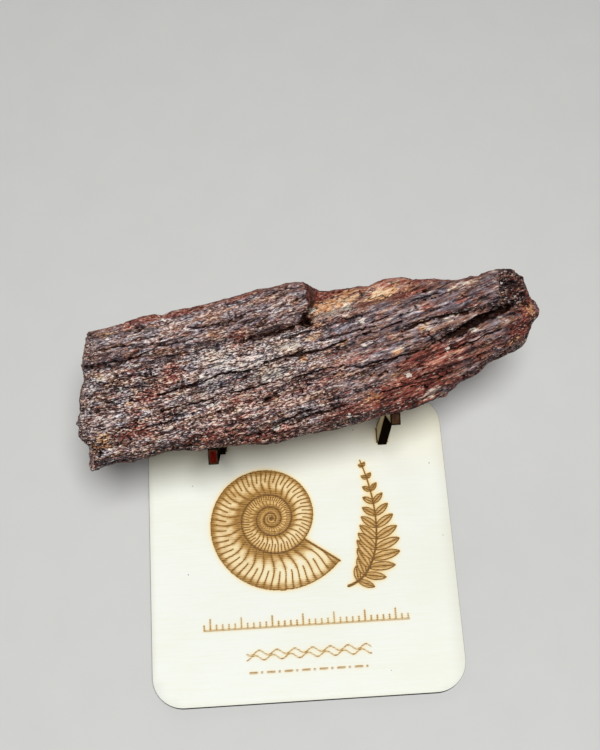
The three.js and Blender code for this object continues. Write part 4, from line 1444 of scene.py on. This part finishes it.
# The cut end of the lip, which shows the core of the ply between its sooty skins.
def frontOfLip(shape):
    top = max(vert.co.z for vert in shape.verts) - arm["lipReach"] * mm
    ends = []
    for face in shape.faces:
        wide = abs(face.normal.x) < 0.01 and face.calc_area() > arm["cutArea"] * mm * mm
        upward = face.normal.z > 0.3 and face.normal.y < 0.9
        if wide and upward and face.calc_center_median().z > top:
            ends.append(face)
    return min(ends, key=lambda face: face.calc_center_median().y)


def makeArm(node, name, material, redness, soot):
    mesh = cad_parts[node].data.copy()
    mesh.name = name
    mesh.materials.clear()
    shape = bmesh.new()
    shape.from_mesh(mesh)
    bmesh.ops.remove_doubles(shape, verts=shape.verts, dist=1e-6)
    flatness = math.radians(1)
    bmesh.ops.dissolve_limit(shape, angle_limit=flatness, verts=shape.verts, edges=shape.edges)
    bmesh.ops.bevel(
        shape, geom=list(shape.edges), offset=arm["soften"] * mm, segments=arm["softenSteps"],
        profile=0.5, affect="EDGES", clamp_overlap=True,
    )
    char, core, smoke = (shape.verts.layers.float.new(layer) for layer in ("char", "core", "smoke"))
    for vert in shape.verts:
        vert[char] = vert[smoke] = 1
    shape.faces.ensure_lookup_table()
    large = arm["sideArea"] * mm * mm
    sides = [face for face in shape.faces if abs(face.normal.x) > 0.99 and face.calc_area() > large]
    charSides(shape, sides, char, smoke, soot)
    front = frontOfLip(shape)
    bmesh.ops.inset_region(shape, faces=[front], thickness=arm["coreInset"] * mm, use_even_offset=True)
    for vert in front.verts:
        vert[core] = redness
    bmesh.ops.triangulate(shape, faces=[face for face in shape.faces if len(face.verts) > 4])
    shape.to_mesh(mesh)
    shape.free()
    place = np.zeros(len(mesh.vertices) * 3, np.float32)
    mesh.vertices.foreach_get("co", place)
    place = place.reshape(-1, 3)[:, [2, 1, 0]] / mm       # the grain runs up the arm
    mesh.attributes.new("flat", "FLOAT_VECTOR", "POINT").data.foreach_set("vector", place.ravel())
    mesh.shade_flat()
    standFor(mesh, node, material)


armMaterial = plyMaterial("charred ply", False)
# the left arm's soot is partly painted shade from the bone on its inner side
makeArm("left_arm", "leftArm", armMaterial, redness=1.0, soot=0.8)
makeArm("right_arm", "rightArm", armMaterial, redness=0.45, soot=0)

studio = {
    "floorColour": (212, 212, 210),
    "floorShade": 5,         # how much darker its soft spots are
    "floorSpots": 60,        # soft spots to a metre
    "floorReach": 2.5,       # metres, as all of these places and sizes
    "keyPlace": (0.035, -0.145, 0.87),
    "keySize": 0.25,
    "keyPower": 7.3,
    "rearPlace": (-0.3, 0.6, 0.6),
    "rearSize": 0.5,
    "rearPower": 0.6,
    "aim": (0, 0.02, 0.03),
    "skyColour": (1, 0.97, 0.9),
    "sky": 0.045,
}


def addLight(name):
    data = bpy.data.lights.new(name, "AREA")
    data.shape = "DISK"
    data.size = studio[name + "Size"]
    data.energy = studio[name + "Power"]
    light = bpy.data.objects.new(name, data)
    scene.collection.objects.link(light)
    light.location = studio[name + "Place"]
    aim = Vector(studio["aim"]) - Vector(studio[name + "Place"])
    light.rotation_euler = aim.to_track_quat("-Z", "Y").to_euler()


def addFloor():
    mesh = bpy.data.meshes.new("floor")
    reach = studio["floorReach"]
    corners = [(-reach, -reach, 0), (reach, -reach, 0), (reach, reach, 0), (-reach, reach, 0)]
    mesh.from_pydata(corners, [], [(0, 1, 2, 3)])
    floor = bpy.data.objects.new("floor", mesh)
    scene.collection.objects.link(floor)
    material, tree = startMaterial("pale floor")
    place = addNode("TexCoord", {}, tree).outputs["Object"]
    soft = noiseOf(place, rough=0.5, scale=studio["floorSpots"])
    pale = studio["floorColour"]
    colour = tint(soft, paint(*pale), paint(*(part - studio["floorShade"] for part in pale)))
    finishMaterial(colour, 0.9, soft, bumpDepth=0.1, bumpStrength=0.2, specular=0.2)
    mesh.materials.append(material)


def addStudio():
    addFloor()
    addLight("key")
    addLight("rear")
    world = bpy.data.worlds.new("sky")
    world.use_nodes = True
    background = world.node_tree.nodes["Background"]
    background.inputs["Color"].default_value = (*studio["skyColour"], 1)
    background.inputs["Strength"].default_value = studio["sky"]
    scene.world = world
    scene.view_settings.view_transform = "Standard"
    report("floor and lights are in place")


addStudio()
